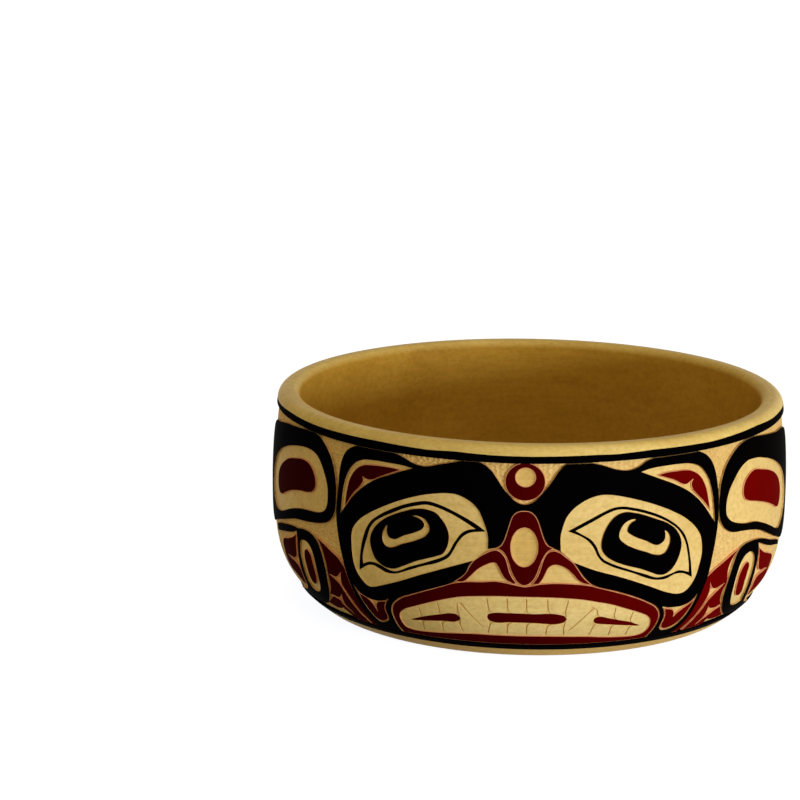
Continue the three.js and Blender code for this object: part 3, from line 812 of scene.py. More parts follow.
# %% Draw and carve the brow
BROW = [
    (0, 104.4), (3.2, 105.2), (5.9, 106.9), (9.5, 110.9), (12.9, 115.1), (16, 119.5), (18.7, 123.4),
    (21, 125.8), (22.8, 126.5, 1), (36.4, 126.6, 1), (41.9, 125.3), (50.8, 122.4), (57.1, 121.7),
    (63.5, 123.4), (67.9, 125.9), (72.5, 127.1, 1), (102.8, 127.3, 1), (107.9, 124.8),
    (111.2, 121.4), (114, 115.3), (115.3, 109.2), (116.2, 102), (116.4, 95.6), (116.1, 88),
    (115.5, 82), (114.5, 76), (112.3, 66), (110.1, 55.9), (108.9, 51.8), (107.6, 48), (106.3, 44),
    (104.6, 38), (103, 32), (101, 26), (99, 21.5), (96.8, 18), (95.8, 16.8, 1), (78, 16.8, 1),
    (79, 20.5), (80, 25), (80.6, 29.5), (80.6, 35), (79.4, 38.8), (76.2, 42.8), (70.4, 46.4),
    (60.4, 51.2), (50.4, 54.9), (40.8, 57.9), (36.9, 59.8), (32.9, 63.8), (29.9, 68),
    *SOCKET_EDGE["right"],
    (15.9, 80.5), (13, 82.4), (11.3, 85), (10, 88.3), (9.1, 91.3), (7.8, 95.3), (6.3, 98.1),
    (4.2, 100.3), (2, 101.1), (0, 101.3), (-2, 101.1), (-4.2, 100.5), (-6.5, 98.2), (-7.7, 95.1),
    (-8.8, 91.1), (-9.9, 87.6), (-11.1, 84.2), (-13, 81.4), (-15.2, 80.2),
    *SOCKET_EDGE["left"][::-1],
    (-29.5, 69.4), (-30.3, 66.9), (-31.7, 64.4), (-33.7, 62.4), (-37, 59.9), (-39.8, 58),
    (-46, 55.4), (-55, 51.9), (-62, 49.1), (-70.2, 45.5), (-73.2, 43.2), (-75.6, 40.8),
    (-77.3, 37.9), (-78.3, 34.2), (-78.4, 30), (-78, 23), (-77, 16.8, 1), (-93.9, 17, 1), (-96, 21),
    (-98, 26), (-99.6, 30.3), (-101, 34.7), (-102.6, 40), (-104.6, 45.4), (-106.4, 50.1),
    (-107.9, 55.3), (-109, 59.5), (-111.3, 67.6), (-113.3, 75.9), (-114.5, 86.8), (-114.2, 93),
    (-113.7, 98.6), (-113.3, 102.5), (-113.2, 107.5), (-112.4, 114.3), (-110.9, 119.2),
    (-107.5, 123.7), (-104.8, 125.3), (-100.9, 126.7, 1), (-75.4, 126.6, 1), (-70.8, 125.6),
    (-62.6, 122.5), (-57.8, 121.6), (-46, 123.9), (-34.2, 126.6, 1), (-25.2, 126.6, 1),
    (-22.2, 125.3), (-19.4, 123.3), (-14.9, 117.6), (-12.2, 113.6), (-7.8, 108.8), (-5.8, 106.7),
    (-3.2, 105.1),
]
holes = [field[side] for field in (EAR_FIELD, CHEEK_FIELD) for side in SIDES]
brow = form("brow", [BROW, *holes], "black")
book_in("brow", [brow] + [lining(hole) for hole in holes])

# %% [markdown]
# ## The eyes
# Each socket is a bare field, and the iris stands on it with a bracket of bare wood left in the
# black. A painted line gives the eyelid, which ends in a point towards the nose and in another
# down at the cheek.

# %% Draw the eyelids and the irises
LID = {
    "right": [
        (52.8, 102), (47.4, 101.4), (43.3, 99.8), (35, 95.8), (23.6, 89.8, 1), (30.8, 86.6),
        (34.8, 83.7), (37, 81), (40.6, 74.2), (42.5, 72), (46.1, 69.9), (60, 64.3), (75, 58.7),
        (79.8, 58.5), (87.1, 60.6), (91.4, 60.3), (98.3, 57, 1), (96.7, 67), (94.4, 77), (92.2, 82),
        (88.1, 86.9), (81.5, 91.9), (75.6, 95.2), (70.2, 97.5), (59.4, 100.9),
    ],
    "left": [
        (-54.2, 102.5), (-61.2, 101.1), (-66.1, 99.5), (-75.8, 95.1), (-81.6, 91.8), (-89.4, 85.6),
        (-92, 81.6), (-94.4, 75.4), (-96.6, 63.8), (-97.1, 56.9, 1), (-94.5, 58.6), (-91.8, 60.4),
        (-88, 61.4), (-83, 60.2), (-77.9, 58.6), (-73.6, 58.9), (-64.5, 62.3), (-54.8, 66.3),
        (-50, 67.8), (-45, 70), (-40.8, 72.9), (-38.3, 77), (-36.3, 80.9), (-32.1, 86),
        (-29.6, 87.4), (-24.1, 88.5), (-20.8, 88.8, 1), (-25.5, 92), (-38.1, 98.3), (-45.4, 101),
    ],
}
LID_INNER = {
    "right": [
        (52.7, 100.7), (49.3, 100.4), (45.9, 99.3), (36, 94.4), (27.1, 89.9, 1), (32, 87),
        (36, 84.4), (38.6, 81), (41.4, 75), (43.5, 72.8), (46, 71.3), (56, 67), (67.4, 62.7),
        (75.6, 59.8), (78.8, 59.9), (84, 60.9), (89.1, 62), (92.5, 61.2), (96.1, 59.9, 1),
        (95.6, 66), (94.6, 71.5), (92.8, 78), (90, 82.9), (87.1, 86.4), (81.9, 90.3), (73.4, 94.8),
        (66, 97.6), (58.2, 99.8),
    ],
    "left": [
        (-53.7, 100.8), (-48.4, 100), (-42.6, 98.3), (-30.3, 92.4), (-25.9, 89.7, 1), (-30.1, 88.9),
        (-32.9, 87.4), (-37.4, 81.6), (-42, 73.9), (-43.3, 72.9), (-50.5, 69.5), (-63, 64.5),
        (-74.9, 60), (-79, 61), (-83.1, 62.3), (-87.2, 63), (-89.8, 62.7), (-94.4, 60.7, 1),
        (-94.8, 64.6), (-93.5, 70.9), (-91.5, 77), (-89.5, 82.6), (-87.8, 85.1), (-81, 90.3),
        (-74.5, 93.6), (-68.1, 96.8), (-61, 99.2),
    ],
}
IRIS = {
    "right": [
        (54.6, 98.8), (50.6, 97.7), (46, 93.5), (43.9, 90), (42.3, 85.7), (41.7, 81.3),
        (42.2, 78.6), (43.8, 76), (48.9, 72.1), (54.3, 69.7), (65.4, 66), (71, 63.6), (76, 61.6),
        (78.8, 61.4), (82.8, 63.1), (87.4, 68.8), (88.9, 72.5), (89.7, 77.5), (88.9, 81.2),
        (86.6, 85.2), (80.6, 90.1), (72.9, 93.5), (61.1, 97.8),
    ],
    "left": [
        (-55.1, 98.1), (-61.1, 97.4), (-67, 95.4), (-73, 92.9), (-80.8, 88.4), (-84.8, 84.7),
        (-87.7, 80.6), (-89, 75.7), (-88.6, 72.6), (-86.7, 67.7), (-85.3, 65.5), (-82.6, 63.5),
        (-78.6, 61.9), (-73.9, 61.8), (-67, 64.7), (-60.2, 68.1), (-53.5, 70.6), (-47.4, 72.8),
        (-44.2, 74.4), (-42.6, 76.7), (-41, 81.8), (-41, 85.9), (-42.6, 90.1), (-46.1, 94.7),
        (-48, 96.4), (-50.9, 97.5),
    ],
}
GLINT = {
    "right": [
        (55.5, 93.6), (58.6, 94.7), (61.2, 94.8, 1), (60.9, 93.8, 1), (58.6, 92.8), (57.2, 91.4),
        (56.4, 89.6), (56.6, 87.7), (58.4, 86.3), (67, 82.1), (75.4, 79), (77.4, 80), (78.6, 81.4),
        (79, 83.3), (78.5, 86.7, 1), (80, 86), (81.7, 83.9), (82.4, 81.1), (81.8, 77.8),
        (80.5, 75.3), (78.9, 73.6), (77, 72.9), (73.6, 73.1), (67.5, 75.4), (61.5, 77.6),
        (53.5, 82.3), (52.1, 83.7), (51.4, 85.8), (52.1, 89.4), (53.4, 91.6),
    ],
    "left": [
        (-63, 93.6, 1), (-60.1, 94), (-57.8, 93.8), (-55.5, 93.1), (-53.1, 90.9), (-52, 88.7),
        (-51.9, 86.6), (-53.8, 83.5), (-59.8, 79.9), (-68, 76.7), (-75.4, 73.6), (-77.2, 73.6),
        (-79.1, 74.5), (-80.4, 76.3), (-80.9, 79.1), (-80.1, 82.7), (-79, 84.9), (-77.3, 86.7, 1),
        (-77.9, 82.9), (-77.3, 80.7), (-76.2, 79.4), (-74, 78.8), (-67, 81.9), (-59.5, 85),
        (-55.8, 87.4), (-55.1, 88.9), (-55.2, 90.2), (-56.9, 91.9), (-59.8, 93),
    ],
}
print("lids and irises drawn")

# %% Carve the eyes
LINE = dict(level=BARE_LEVEL + 0.12, on=BARE_LEVEL - 0.2)
HAIRLINE = dict(soft=(0.14, 0.04), bevel=0.1, edge_below=0.2)
HOLLOWED = dict(soft=(1.5, -0.4), bevel=0.1, edge_below=NO_EDGE)
for side in SIDES:
    eye = form("eye", [wider(SOCKET_EDGE[side], -1.4)], "bare", **HOLLOWED)
    lid = form("lid", [LID[side], LID_INNER[side]], "black", **LINE, **HAIRLINE)
    book_in(side + "_eye", [eye, lid])
    iris = form("iris", [IRIS[side], GLINT[side]], "black", on=BARE_LEVEL)
    book_in(side + "_iris", [iris])

# %% [markdown]
# ## Ears, cheeks and the roundel
# These are the small red forms. Ear and cheek are U forms with a split: the notch where two
# leaves of a form part. The roundel between the brows is a red ring round a dished bare field.

# %% Draw and carve the ears and the cheeks
EAR = {
    "right": [
        (75, 117.6, 1), (79.4, 118.3), (88.2, 118.4), (93.1, 118.2), (97.5, 117.1), (101.1, 115.1),
        (103.4, 112.9), (107, 106.2), (108.5, 100), (109.6, 94, 1), (104.9, 99.6), (100.5, 103.8),
        (97.1, 107.6), (96.5, 110.2), (98, 113, 1), (95.9, 112), (92.9, 110.6), (89.7, 111.3),
        (86.4, 113.3), (80.5, 115.6),
    ],
    "left": [
        (-70.8, 118, 1), (-79, 118.3), (-88.2, 117.8), (-94.8, 116.9), (-98.8, 115.1),
        (-102.2, 111.9), (-104.9, 107.4), (-106.6, 101), (-107.9, 91.6, 1), (-102.2, 99.7),
        (-96.3, 106.1), (-95.1, 108.1), (-95.7, 110.6, 1), (-91.8, 109.5), (-88.5, 110),
        (-84.5, 112), (-78.5, 114.7),
    ],
}
CHEEK = {
    "right": [
        (82.8, 39.4, 1), (86, 38.8), (88.6, 37.6), (89.8, 35.8), (90.7, 32.1, 1), (91.5, 33.5),
        (93, 35.3), (95.5, 37.4), (98, 38.8), (100.4, 40.5), (102.3, 42.4, 1), (101.6, 39.6),
        (100.6, 36.8), (99.2, 33.3), (97.4, 29.8), (95, 26.5), (92.5, 24.5), (89.8, 23.7),
        (87.3, 23.9), (85.2, 25.4), (84.3, 27.6), (84.4, 31), (84.3, 34.8), (83.7, 37.2),
    ],
    "left": [
        (-80.9, 40.3, 1), (-84, 39.6), (-87.2, 38.2), (-88.4, 36), (-88.9, 30.7, 1), (-89.7, 33.5),
        (-90.7, 36), (-92.4, 38.4), (-95, 40), (-99.7, 41.5, 1), (-98.4, 37.8), (-96.6, 33.8),
        (-94.8, 29.8), (-93, 26.4), (-91.3, 24.3), (-89.6, 24), (-87.2, 24.6), (-84.8, 26),
        (-83.3, 27.6), (-82.8, 30), (-83.1, 33.5), (-82.6, 36.6),
    ],
}
pair("ear", EAR, "red", on=FIELD_LEVEL)
pair("cheek", CHEEK, "red", on=FIELD_LEVEL)

# %% Draw and carve the roundel
def ring_line(center, across, high, points=16):
    turn = np.linspace(0, 2 * np.pi, points, endpoint=False)
    u, t = center
    return [(u + across / 2 * math.sin(a), t + high / 2 * math.cos(a)) for a in turn]


ROUNDEL, ROUNDEL_HOLE = ring_line((0, 116.9), 21.2, 20.2), ring_line((0.15, 119.4), 11.3, 10.7)
roundel = form("roundel", [ROUNDEL, ROUNDEL_HOLE], "red")
book_in("roundel", [roundel, dished(ROUNDEL_HOLE)])

# %% [markdown]
# ## The nose
# The bulb of the nose narrows to a point between the nostrils, and two arches spring from it and
# run down onto the lips. A thin bare line parts the bulb from the arches.

# %% Draw and carve the nose
NOSE = [
    (0, 100.7), (3, 100.2), (5.3, 98.4), (7.1, 95), (8.4, 91), (9.4, 88), (10.5, 84.8),
    (12.3, 81.9), (15.2, 80.3, 1), (12.9, 79.1), (11.2, 77), (9.3, 73), (7.9, 69), (6.5, 65),
    (4.8, 62.2), (3, 60.4), (1.2, 59.5), (-0.6, 59.5), (-2.8, 61), (-5, 64.2), (-6.6, 67.7),
    (-7.6, 71.2), (-9.4, 75.6), (-11.4, 78.4), (-14.3, 79.9, 1), (-12.6, 80.7), (-10.7, 83.7),
    (-9.5, 87), (-8.4, 91), (-7.2, 95), (-6, 98), (-3.6, 100.1),
]
NOSTRIL = {
    "right": [
        (10.9, 74.6), (12.6, 77.5), (14.3, 78.5), (16.3, 78.7), (18.6, 77.9), (22.5, 75),
        (26.4, 71.7), (29.3, 67.5), (32.1, 63.3), (36.3, 59.3, 1), (31.6, 60.7), (29.2, 62.5),
        (26.2, 66), (23.4, 68.6), (18, 71.1), (16, 71.2), (12.9, 69.3), (11.4, 66), (10.1, 63.2),
        (8, 60.3, 1), (5, 60.2, 1), (7, 63), (8.3, 66), (9.6, 70.3),
    ],
    "left": [
        (-10.8, 75.6), (-12.5, 77.5), (-14.7, 78.5), (-17.7, 77.9), (-20.5, 76.4), (-24, 74.1),
        (-27.2, 71.3), (-29.2, 68), (-30.6, 65.2), (-33.1, 62.3), (-37, 59.4, 1), (-32.3, 59.9),
        (-29.4, 62.5), (-24.5, 67.6), (-21, 69.9), (-16.4, 71.7), (-15, 71.6), (-13.8, 70),
        (-11.8, 66), (-10.1, 63.2), (-5.4, 60.1, 1), (-4, 60.4, 1), (-6.2, 63.4), (-7.9, 67),
        (-8.9, 71),
    ],
}
NOSTRIL_FIELD = {
    "right": [
        (7.8, 60, 1), (10.1, 63.2), (11.4, 66), (12.9, 69.3), (16, 71.2), (18, 71.1), (23.4, 68.6),
        (26.2, 66), (29.2, 62.5), (31.8, 60.6), (36, 59, 1), (29, 59.8), (22.5, 60.3), (15, 60.5),
    ],
    "left": [
        (-5.8, 59.9, 1), (-10.1, 63.2), (-11.8, 66), (-13.8, 70), (-15, 71.6), (-16.4, 71.7),
        (-21, 69.9), (-24.5, 67.6), (-29.4, 62.5), (-32.4, 59.2, 1), (-23, 60.4), (-14.5, 61.2),
        (-10, 61),
    ],
}
NOSE_HOLE = ring_line((0.1, 80.8), 14.9, 22.3)
parts = [form("nose", [NOSE, NOSE_HOLE], "red"), dished(NOSE_HOLE)]
for side in SIDES:
    parts.append(form("nostril", [NOSTRIL[side]], "red", level=RED_LEVEL + 0.05))
    parts.append(lining(NOSTRIL_FIELD[side]))
book_in("nose", parts)

# %% [markdown]
# ## The mouth
# The lips are one red ring. Inside them the teeth are a bare field: the carver parts them with
# fine grooves, which run out into three red slits between the upper and the lower teeth. A slit
# and its grooves are one hole in the sheet, so that the corners of the teeth are rounded off.

# %% Draw the lips, the teeth and the slits
LIPS = [
    (0.4, 58.3), (3.8, 58.7), (8.3, 59.7), (15, 60.3), (22.5, 60.1), (30, 59.4), (36, 58.4),
    (40.4, 57), (50, 54), (60, 50.3), (70, 45.5), (75.6, 41.9), (78.6, 38.2), (79.8, 34.5),
    (79.8, 29.5), (79.2, 25), (78.2, 20.5), (77.2, 16.9, 1), (-76.2, 16.9, 1), (-77.2, 23),
    (-77.6, 30), (-77.5, 34.1), (-76.5, 37.6), (-74.8, 40.4), (-72.3, 42.7), (-69.4, 44.9),
    (-65, 46.9), (-55, 51.2), (-45, 55.2), (-37.3, 58.2), (-32, 59.3), (-22, 60.1), (-14.5, 60.8),
    (-8.4, 60), (-3.6, 59),
]
TEETH = [
    (0, 52.6), (11.5, 52.5), (22, 51.9), (30.8, 50.9), (40, 49), (49.2, 46.6), (58, 43.2),
    (67, 39.4), (72.6, 36.2), (74.5, 34), (75.6, 30.6), (75.9, 27.8), (75.2, 24.6), (73.4, 22.2),
    (70, 20.7), (66, 20.3), (57, 21.1), (46, 22.4), (39, 23.5), (27, 24.4), (14.6, 24.9), (0, 24.9),
    (-15, 24.8), (-31.6, 24.4), (-41.8, 23.2), (-53, 21.9), (-64.1, 21), (-69, 21.4), (-72.3, 23.2),
    (-73.4, 25.8), (-73.8, 29.7), (-72.9, 33.8), (-70.4, 36.5), (-60.6, 41.5), (-51.1, 45.4),
    (-43, 48.2), (-35, 50.4), (-24, 51.8), (-13.4, 52.5),
]
SLITS = {
    "mouth_slit": [
        (-19.6, 38.4), (-18.9, 40.2), (-16.1, 41.1), (-9.2, 41.4), (5, 41.2), (19.9, 40.7),
        (22.9, 39.6), (23.8, 38), (22.8, 35.9), (20.3, 35.1), (7, 35.5), (-7, 35.7), (-16.2, 35.3),
        (-18.5, 36.2),
],
    "right_mouth_slit": [
        (40.2, 36.7), (41.1, 37.9), (43, 38.3), (48, 36.9), (55.5, 34.6), (62.9, 32.2), (66, 30.6),
        (69.2, 29, 1), (64.4, 30), (55, 31.7), (47, 33.1), (42.1, 34.1), (40.6, 35),
    ],
    "left_mouth_slit": [
        (-35.8, 36), (-37.2, 37.9), (-40.8, 38.4), (-47, 36.8), (-55, 34.5), (-60.5, 32.4),
        (-66.8, 29.7, 1), (-56, 31.3), (-46, 32.7), (-38.1, 33.6), (-36.2, 34.8),
    ],
}
GROOVES = [
    ((1.7, 51.6), (1.9, 43.6)), ((13, 51.5), (13.3, 43)), ((24.6, 50.7), (23.5, 42)),
    ((40.8, 48), (40.8, 40)), ((39.4, 47.4), (25.6, 28.6)), ((51.8, 44.6), (51.4, 38.2)),
    ((62.8, 40.6), (61.8, 34.4)), ((2.2, 34.2), (1.9, 25.8)), ((13.4, 33.8), (13, 25.8)),
    ((23.1, 34), (23.6, 25.5)), ((39.9, 32.8), (38.6, 24.5)), ((51.1, 31), (50.9, 22.8)),
    ((62.6, 28.6), (62.1, 21.6)), ((-8.9, 51.6), (-8.8, 43.2)), ((-20, 51.1), (-18.9, 43)),
    ((-36.6, 49), (-36.5, 39.6)), ((-35.6, 48), (-21.6, 29)), ((-48.1, 45.4), (-47.3, 38.4)),
    ((-60, 40.7), (-59.2, 34.8)), ((-8.5, 34.6), (-9.1, 25.8)), ((-19.3, 34.2), (-20.3, 25.6)),
    ((-36.1, 32.2), (-35, 24.9)), ((-47, 31), (-47.4, 23.5)), ((-59.2, 29.6), (-59.8, 22.3)),
]
print(len(SLITS), "slits and", len(GROOVES), "grooves")

# %% Carve the mouth
REACH, FLARE = 4.5, 2.1  # how far a slit takes in a groove's end, and how much of its line opens
HALF_WIDTH = 0.5
TEETH_ON, TEETH_GRID = 0.65, 4  # what the teeth stand on, and a wider grid, as they bend little
SUNK = dict(level=SLIT_LEVEL, soft=(0.3, 0.04), bevel=0)
GROOVE_SHAPE = (0.1, 2.4), (0.25, 1.3), (0.45, 1), (0.7, 1), (0.9, 0.9)  # how far along, how wide


def with_grooves(slit, grooves):
    """A slit's outline with grooves running out of it. It gives the grooves that it can't reach."""
    line, left_over = turned(flowing(wider(slit, 0.6), 0.8), True), []
    for ends in grooves:
        ends = [np.array(end) for end in ends]
        near, far = sorted(ends, key=lambda end: np.hypot(*(line - end).T).min())
        gap = np.hypot(*(line - near).T)
        if gap.min() > REACH:
            left_over.append((tuple(near), tuple(far)))
            continue
        line = np.roll(line, -int(gap.argmin()), axis=0)
        foot = line[0]
        long = np.hypot(*(far - foot))
        along = (far - foot) / long
        side = np.array([along[1], -along[0]]) * HALF_WIDTH
        kept = line[np.hypot(*(line - foot).T) > FLARE]
        away = [foot + side * wide + along * long * at for at, wide in GROOVE_SHAPE]
        back = [out - side * 2 * wide for out, (at, wide) in zip(away[::-1], GROOVE_SHAPE[::-1])]
        line = np.concatenate([kept, away, [far], back])
    return [tuple(point) for point in line], left_over


book_in("lips", [form("lips", [LIPS, TEETH], "red")])
holes, grooves = [], GROOVES
for name, slit in SLITS.items():
    hole, grooves = with_grooves(slit, grooves)
    holes.append(hole)
    low_red = form(name, [slit], "red", **SUNK)
    book_in(name, [low_red])
print(len(grooves), "grooves reach no slit")
teeth = form("teeth", [TEETH, *holes], "teeth", on=TEETH_ON, grid=TEETH_GRID)
book_in("teeth", [teeth, lining(TEETH)])

# %% [markdown]
# ## The sides
# Behind the face lie the creature's body joints: a wide U form with a red heart high up, and a
# small ovoid with a red heart low down, with red fins on both sides of it.

# %% Draw the side forms
SIDE_FORM = {
    "right": [
        (116.8, 95), (117.5, 100.5), (118.9, 107.5), (120.8, 111.8), (123, 115.6), (126.9, 119.6),
        (131.5, 123), (136, 125.3), (142.2, 126.9), (150, 127.4), (157, 126.8), (168, 125.5),
        (187, 123.2), (199.9, 122.5), (208, 121.3), (217, 116.5), (222, 106), (223, 90), (220, 75),
        (213, 63.5), (206, 58.5), (199, 57.6), (191, 60.1), (182.5, 62.7), (170, 67.6),
        (157.1, 72.6), (146.2, 75), (137, 76.3), (129.2, 77.3), (125.2, 78.8), (120.6, 82.2),
        (118.2, 86), (117.1, 90),
    ],
    "left": [
        (-115.2, 95), (-115.4, 100.5), (-117, 107.5), (-119.1, 113.1), (-121.5, 117),
        (-127.1, 122.5), (-132.6, 125.9), (-137.5, 127), (-144.4, 127.1), (-156, 126.3),
        (-167, 125.4), (-178.2, 124.3), (-193.6, 121.8), (-204, 120.4), (-213, 115.5), (-218, 106),
        (-219.5, 90), (-216.5, 75), (-209.5, 64.5), (-202, 60.5), (-195, 62.4), (-188.9, 64.3),
        (-178.2, 67.1), (-167, 70.3), (-156.5, 73), (-147, 74.3), (-138.8, 75.4), (-127.1, 77.6),
        (-122.9, 79), (-118.6, 82.2), (-116.4, 86), (-115.4, 90.3),
    ],
}
SIDE_FIELD = {
    "right": [
        (145, 115.6), (150, 115.5), (155.6, 115), (165, 112.9), (174, 110.3), (185.5, 105.6),
        (194.6, 100.7), (200, 96.3), (204.5, 91), (208, 85), (208.8, 79), (206.5, 74.5),
        (202.5, 70.5), (197.5, 67.4), (191.5, 65.5), (186.5, 66.1), (174, 70.9), (162.1, 75.4),
        (151.6, 78.5), (140.2, 79.9), (134, 81.3), (129.8, 82.8), (125.6, 85.2), (123.3, 87.9),
        (122.5, 91.9), (123.2, 96.7), (124.9, 101), (130.4, 107.8), (134.5, 111.5), (139.5, 114.3),
    ],
    "left": [
        (-122.1, 94.1), (-122.5, 98.5), (-123.9, 102.8), (-126, 106.6), (-129.9, 111.9),
        (-133.2, 114.7), (-137.2, 116.4), (-142, 117.1), (-146.8, 117.1), (-159.1, 115.5),
        (-172.9, 112.1), (-186.2, 106.8), (-194.6, 101.6), (-199, 97), (-203.5, 91), (-205.5, 85),
        (-204.5, 79), (-201, 75.3), (-196.1, 72.3), (-191.4, 70.6), (-186.5, 70.5), (-178.4, 72),
        (-166, 76.3), (-156.8, 79), (-146.4, 81.1), (-138, 82), (-130.5, 82.9), (-127, 84),
        (-124.6, 85.6), (-123.1, 87.6), (-122.3, 90.5),
    ],
}
SIDE_RED = {
    "right": [
        (150.6, 108.7), (147.4, 108), (143.5, 106.1), (140.8, 103.8), (139.3, 101.2), (138.9, 98.8),
        (139.4, 96), (141.2, 93.9), (143.5, 92.9), (155, 89.8), (167.1, 86.3), (176, 83),
        (185.2, 79.5), (188.4, 79.4), (190.9, 81.6), (192.6, 86), (192, 89.4), (189.7, 93.7),
        (186.3, 96.9), (179.4, 101.1), (171.4, 104.2), (159.5, 107.2), (154.5, 108.4),
    ],
    "left": [
        (-151.2, 109.3), (-158.5, 108.1), (-169.4, 105.4), (-176.8, 101.9), (-182.1, 98.8),
        (-185.6, 95.8), (-188, 92.4), (-188.7, 89), (-188.4, 86.2), (-186.9, 83.3), (-184.3, 81.8),
        (-180.5, 81.9), (-172.5, 84.8), (-164.1, 87.9), (-157, 89.8), (-150.1, 91.1),
        (-141.5, 92.3), (-137, 93.8), (-135.1, 95.8), (-134.3, 98.7), (-134.8, 101.3),
        (-136.8, 104.7), (-138.9, 106.7), (-142.1, 108.6), (-146, 109.4),
    ],
}
print("side forms drawn")

# %% Draw the lower ovoids
LOWER_OVOID = {
    "right": [
        (127.6, 42.5), (128.2, 47), (129.4, 52.2), (131.2, 57.5), (133.5, 62.3), (136.6, 66),
        (140.5, 67.4), (146, 67.9), (152, 67.8), (157.2, 67.1), (164, 65.6), (170, 63.8),
        (177.2, 61.5), (186.2, 59.4), (193.5, 57.2, 1), (193.5, 54.6, 1), (187.6, 56.2),
        (178.7, 58), (168.6, 60.9), (161.5, 63.6), (157.2, 65.2, 1), (158, 60), (157.4, 53),
        (156.7, 45), (156.8, 39), (157.8, 33), (159.5, 28.4), (162.5, 24.9), (167, 23.2),
        (178, 19.5), (186, 16.9, 1), (166, 17, 1), (156, 17.7), (149, 18.9), (144.5, 20),
        (140.8, 21.7), (137.5, 24.1), (134.4, 27.2), (131.6, 30.5), (129.6, 34), (128.1, 38),
    ],
    "left": [
        (-125.6, 44), (-125.4, 48.5), (-126.1, 53), (-127.3, 57.5), (-129.3, 61.8), (-132.2, 65.7),
        (-135.9, 68), (-140, 69.1), (-145, 69.3), (-149.4, 68.9), (-153.5, 68.1), (-158, 68),
        (-170, 66.2), (-180, 64.2), (-190, 61.6, 1), (-190, 57.4, 1), (-180, 59.7), (-170, 61.9),
        (-162, 63.8), (-154.9, 66.3, 1), (-154.2, 61), (-154.5, 55), (-154.8, 48), (-154.6, 43),
        (-153.9, 38), (-153.9, 34), (-155.4, 30.8), (-159, 27.9), (-164, 26.2), (-174, 24.2, 1),
        (-165, 22), (-155, 21.6), (-146.6, 21.7), (-140.5, 22.7), (-136.2, 24.7), (-132.5, 28),
        (-129.5, 31.9), (-127.2, 36), (-126, 40),
    ],
}
LOWER_FIELD = {
    "right": [
        (146, 61.9), (148.9, 61.8), (151.6, 60.4), (153.3, 58.4), (153.9, 56.1), (154, 51.9),
        (153.2, 46.8), (152.9, 42.4), (153.1, 36), (153.6, 32), (154.9, 28.2, 1), (151.5, 27.3),
        (147.8, 27), (145.3, 27.4), (142.2, 28.8), (140.1, 30.4), (138.5, 32.4), (136.3, 37),
        (135.4, 41.5), (135.2, 45.8), (136.1, 51.7), (138.5, 57.4), (141.6, 60.4),
    ],
    "left": [
        (-146.6, 62.9), (-144.3, 63), (-140.9, 62), (-138.1, 59.5), (-135.8, 54.6), (-134.5, 47.6),
        (-134.5, 40.5), (-135.6, 36.6), (-137.2, 34), (-140, 31.9), (-143.6, 30.8), (-145.9, 31),
        (-147.9, 32.2), (-149.6, 35), (-150.3, 39), (-150.6, 43.2), (-150.9, 47.5), (-151.7, 52.9),
        (-151.6, 57.8), (-150.8, 61), (-149.2, 62.4),
    ],
}
LOWER_RED = {
    "right": [
        (145.8, 55.8), (142.8, 54.7), (140.7, 52.2), (139.3, 48.9), (139, 45.3), (139.5, 40.7),
        (140.7, 37.8), (142.8, 35.7), (145.4, 34.8), (147.2, 35.3), (148, 36.9), (147.4, 40.5),
        (147.2, 44.1), (147.8, 49), (148.6, 53.5), (147.8, 55.1),
    ],
    "left": [
        (-144.6, 57.7), (-146.4, 56.6), (-147.2, 53.7), (-146.4, 46.5), (-145.4, 39.8),
        (-144.2, 37.4), (-142.2, 36.7), (-140.2, 37.4), (-138.5, 39.2), (-137.7, 41.4),
        (-137.4, 44.9), (-138.6, 51), (-140, 55.4), (-141.8, 57.1),
    ],
}
print("lower ovoids drawn")

# %% Carve the side forms
RINGS = {"side_form": (SIDE_FORM, SIDE_FIELD), "lower_ovoid": (LOWER_OVOID, LOWER_FIELD)}
for side in SIDES:
    for name, (outline, field) in RINGS.items():
        ring = form(name, [outline[side], field[side]], "black")
        book_in(side + "_" + name, [ring, lining(field[side])])
pair("side_red", SIDE_RED, "red", on=FIELD_LEVEL)
pair("lower_red", LOWER_RED, "red", on=FIELD_LEVEL)

# %% [markdown]
# ## The fins
# Red fins fill the space between the face, the lower ovoid and the side. Each is drawn as one
# outline: its bare notches and curls are bays that run in from the edge.

